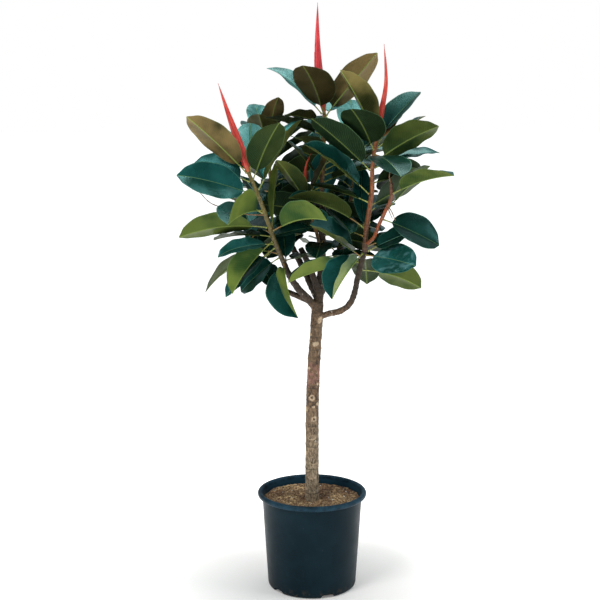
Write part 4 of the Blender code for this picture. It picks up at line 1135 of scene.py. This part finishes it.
def add_pot():
    """The pot turned from its section, a little out of round, with drain openings cut into the corner."""
    low = POT_HEIGHT - RIM_DEPTH
    bm = bmesh.new()
    rim_layer = bm.verts.layers.float.new("rim")
    inside_layer = bm.verts.layers.float.new("inside")
    rings = []
    for radius, height in pot_profile():
        if radius == 0:
            rings.append([bm.verts.new((0, 0, height))])
            continue
        inner = height > 0.008 and radius < wall_radius(min(height, low)) - 0.002
        ring = []
        for i in range(POT_STEPS):
            angle = 2 * math.pi * i / POT_STEPS
            vert = bm.verts.new((radius * math.cos(angle), radius * math.sin(angle), height))
            vert[rim_layer] = float(height > low - 0.001 and radius > POT_TOP_RADIUS)
            vert[inside_layer] = float(inner)
            ring.append(vert)
        rings.append(ring)
    for lower, upper in zip(rings, rings[1:]):
        for i in range(POT_STEPS):
            n = (i + 1) % POT_STEPS
            if len(lower) == 1:
                bm.faces.new((lower[0], upper[n], upper[i]))
            elif len(upper) == 1:
                bm.faces.new((lower[i], lower[n], upper[0]))
            else:
                bm.faces.new((lower[i], lower[n], upper[n], upper[i]))
    bmesh.ops.recalc_face_normals(bm, faces=bm.faces)
    mesh = mesh_of(bm, "pot_shell_source")
    co = coords(mesh)
    out = np.linalg.norm(co[:, :2], axis=1)
    oval = 0.0018 * np.sin(2 * np.arctan2(co[:, 1], co[:, 0]) + 0.6)
    sag = 1 + oval * smoothstep(0.02, 0.25, co[:, 2]) * (out > 0.1)
    co[:, :2] *= np.minimum(sag, 1)[:, None]
    mesh.vertices.foreach_set("co", co.ravel())

    obj = linked("pot_shell_source", mesh)
    cutters = [drain_cutter(DRAIN_FIRST_ANGLE + 360 / DRAIN_COUNT * i) for i in range(DRAIN_COUNT)]
    for cutter in cutters:
        cut = obj.modifiers.new("drain", "BOOLEAN")
        cut.operation = "DIFFERENCE"
        cut.solver = "EXACT"
        cut.object = cutter
    final = with_modifiers(obj, "pot_shell")
    for cutter in cutters:
        bpy.data.objects.remove(cutter)
    final.shade_smooth()
    final.set_sharp_from_angle(angle=math.radians(38))
    add_piece("pot_shell", final, [pot_material()], "pot", "pot")


def drain_cutter(angle):
    """A rounded block across the pot's bottom corner, at this angle in degrees."""
    bm = bmesh.new()
    reach, half, below = 0.020, DRAIN_WIDTH / 2, -0.01
    loop = [(-half, below)]
    for i in range(25):
        across = -1 + 2 * i / 24
        arch = DRAIN_HEIGHT * (1 - abs(across) ** 5) ** 0.5
        loop.append((across * DRAIN_WIDTH / 2, arch + 0.0005 * math.sin(9 * across)))
    loop.append((half, below))
    near = [bm.verts.new((POT_BASE_RADIUS - reach, s, h)) for s, h in loop]
    far = [bm.verts.new((POT_BASE_RADIUS + reach, s, h)) for s, h in loop]
    bm.faces.new(near)
    bm.faces.new(far[::-1])
    for i in range(len(loop)):
        n = (i + 1) % len(loop)
        bm.faces.new((near[i], far[i], far[n], near[n]))
    bmesh.ops.recalc_face_normals(bm, faces=bm.faces)
    mesh = mesh_of(bm, "drain_cutter")
    mesh.transform(Matrix.Rotation(math.radians(angle), 4, "Z"))
    return linked("drain_cutter", mesh)


def soil_height(x, y):
    """The soil's surface: a shallow dish round the trunk, lumpy, banked up a little behind."""
    out = math.hypot(x, y)
    dish = -0.0045 * math.exp(-(((out - 0.02) / 0.03) ** 2))
    lump = 0.0030 * noise.fractal(Vector((x, y, 0)) * 30, 1, 2, 3)
    crumb = 0.0016 * noise.fractal(Vector((x, y, 1)) * 150, 1, 2, 3)
    grit = 0.0010 * max(0, noise.noise(Vector((x, y, 2)) * 420))
    bank = 0.0015 * smoothstep(-0.15, 0.15, np.array(y))
    return float(SOIL_HIGH.z - SOIL_SINK + dish + lump + crumb + grit + bank)


def add_soil():
    """The rough surface round the trunk, closed by the sides and the underside."""
    circle = [2 * math.pi * j / SOIL_STEPS for j in range(SOIL_STEPS)]
    edge = wall_radius(SOIL_HIGH.z) - POT_WALL - 0.0004
    verts = []
    for i in range(SOIL_RINGS + 1):
        radius = SOIL_HOLE + (edge - SOIL_HOLE) * i / SOIL_RINGS
        for angle in circle:
            x, y = radius * math.cos(angle), radius * math.sin(angle)
            verts.append((x, y, soil_height(x, y)))
    low = SOIL_LOW.z
    bottom = wall_radius(low + 0.012) - POT_WALL - 0.0006
    closing = ((bottom, low + 0.012), (bottom - 0.010, low), (SOIL_HOLE, low))
    for radius, height in closing:
        verts += [(radius * math.cos(angle), radius * math.sin(angle), height) for angle in circle]
    rows = SOIL_RINGS + 1 + len(closing)
    faces = [(a, d, c, b) for a, b, c, d in ring_faces(rows, SOIL_STEPS)]
    last = (rows - 1) * SOIL_STEPS
    for j in range(SOIL_STEPS):
        n = (j + 1) % SOIL_STEPS
        faces.append((last + j, j, n, last + n))
    mesh = mesh_from("soil_surface", verts, faces)
    add_piece("soil_surface", mesh, [soil_material()], "soil", "soil")


def add_lump(bm, place, size, rng, squash):
    """One crumb: an icosphere pushed out of round."""
    made = bmesh.ops.create_icosphere(bm, subdivisions=1, radius=1)["verts"]
    seed = Vector((rng.uniform(0, 99), rng.uniform(0, 99), rng.uniform(0, 99)))
    turn = Matrix.Rotation(rng.uniform(0, 6.28), 3, "Z") @ Matrix.Rotation(rng.uniform(-0.5, 0.5), 3, "X")
    for vert in made:
        swell = 1 + 0.45 * noise.noise(vert.co * 1.3 + seed)
        shape = Vector((vert.co.x * swell, vert.co.y * swell * 0.75, vert.co.z * squash))
        vert.co = place + turn @ shape * size


def add_crumbs(name, material, dark, light, seed, count, sizes, squash):
    rng = random.Random(seed)
    bm = bmesh.new()
    while count:
        angle, radius = rng.uniform(0, 2 * math.pi), CRUMB_FIELD * math.sqrt(rng.random())
        size = rng.uniform(*sizes)
        if radius < CRUMB_FREE:
            continue
        x, y = radius * math.cos(angle), radius * math.sin(angle)
        add_lump(bm, Vector((x, y, soil_height(x, y) + size * squash * 0.2)), size, rng, squash)
        count -= 1
    mesh = mesh_of(bm, name)
    mesh.shade_smooth()
    add_piece(name, mesh, [chip_material(material, dark, light)], "soil")


# --- stage -----------------------------------------------------------------------------------
FLOOR_REACH = 60
LIGHTS = {
    "key": ((-2.0, -2.4, 3.8), (0, 0, 1.1), 1.4, 85, (0.97, 0.99, 1.0)),
    "overhead": ((0.3, 0.4, 4.2), (0, 0, 1.0), 2.2, 90, (1.0, 1.0, 0.98)),
    "right": ((3.0, -1.0, 2.6), (0, 0, 1.2), 1.2, 26, (0.95, 0.98, 1.0)),
}  # place, target, size, power and colour
WORLD_COLOUR, WORLD_STRENGTH = (0.80, 0.92, 1.0, 1), 0.42
CAMERA_PLACE = (-0.0377, -3.67, 1.5)
CAMERA_TILT = 9.2  # degrees down
CAMERA_LENS, CAMERA_SENSOR = 73.1, 36


def add_floor():
    r = FLOOR_REACH
    mesh = mesh_from("floor", [(-r, -r, 0), (r, -r, 0), (r, r, 0), (-r, r, 0)], [(0, 1, 2, 3)])
    mesh.materials.append(floor_material())
    floor = linked("floor", mesh)


def add_world():
    """A plain white backdrop that lights the plant as a dimmer, cooler sky."""
    world = bpy.data.worlds.new("studio")
    bpy.context.scene.world = world
    world.use_nodes = True
    tree = world.node_tree
    seen, lit = tree.nodes["Background"], tree.nodes.new("ShaderNodeBackground")
    seen.inputs[0].default_value = (1, 1, 1, 1)
    lit.inputs[0].default_value, lit.inputs[1].default_value = WORLD_COLOUR, WORLD_STRENGTH
    path, mix = tree.nodes.new("ShaderNodeLightPath"), tree.nodes.new("ShaderNodeMixShader")
    tree.links.new(path.outputs["Is Camera Ray"], mix.inputs[0])
    tree.links.new(lit.outputs[0], mix.inputs[1])
    tree.links.new(seen.outputs[0], mix.inputs[2])
    tree.links.new(mix.outputs[0], tree.nodes["World Output"].inputs[0])


def add_lights():
    for name, (place, target, size, power, colour) in LIGHTS.items():
        light = bpy.data.lights.new(name, "AREA")
        light.size = size
        light.energy = power
        light.color = colour
        obj = linked(name, light)
        obj.location = place
        obj.rotation_euler = (Vector(target) - Vector(place)).to_track_quat("-Z", "Y").to_euler()


def add_camera():
    camera = bpy.data.cameras.new("camera")
    camera.sensor_width = CAMERA_SENSOR
    camera.lens = CAMERA_LENS
    camera.clip_start, camera.clip_end = 0.05, FLOOR_REACH
    obj = linked("camera", camera)
    obj.location = CAMERA_PLACE
    obj.rotation_euler = (math.radians(90 - CAMERA_TILT), 0, 0)
    bpy.context.scene.camera = obj
    bpy.context.scene.view_settings.view_transform = "Standard"


add_pot()
add_soil()
for crumb_name, crumb in CRUMBS.items():
    add_crumbs(crumb_name, *crumb)
DRAWN = plan_stems()
add_trunk()
add_shoots(DRAWN)
add_twigs()
add_sheaths()
for number, (leaf_name, leaf_row) in enumerate(LEAVES.items()):
    add_leaf(leaf_name + "_blade", leaf_row, number, leaf_name)
for number, leaf_row in FILL_LEAVES.items():
    add_fill_leaf(f"fill_leaf_{number}", leaf_row, 499 + number)
grow_dense_leaves()
add_floor()
add_world()
add_lights()
add_camera()
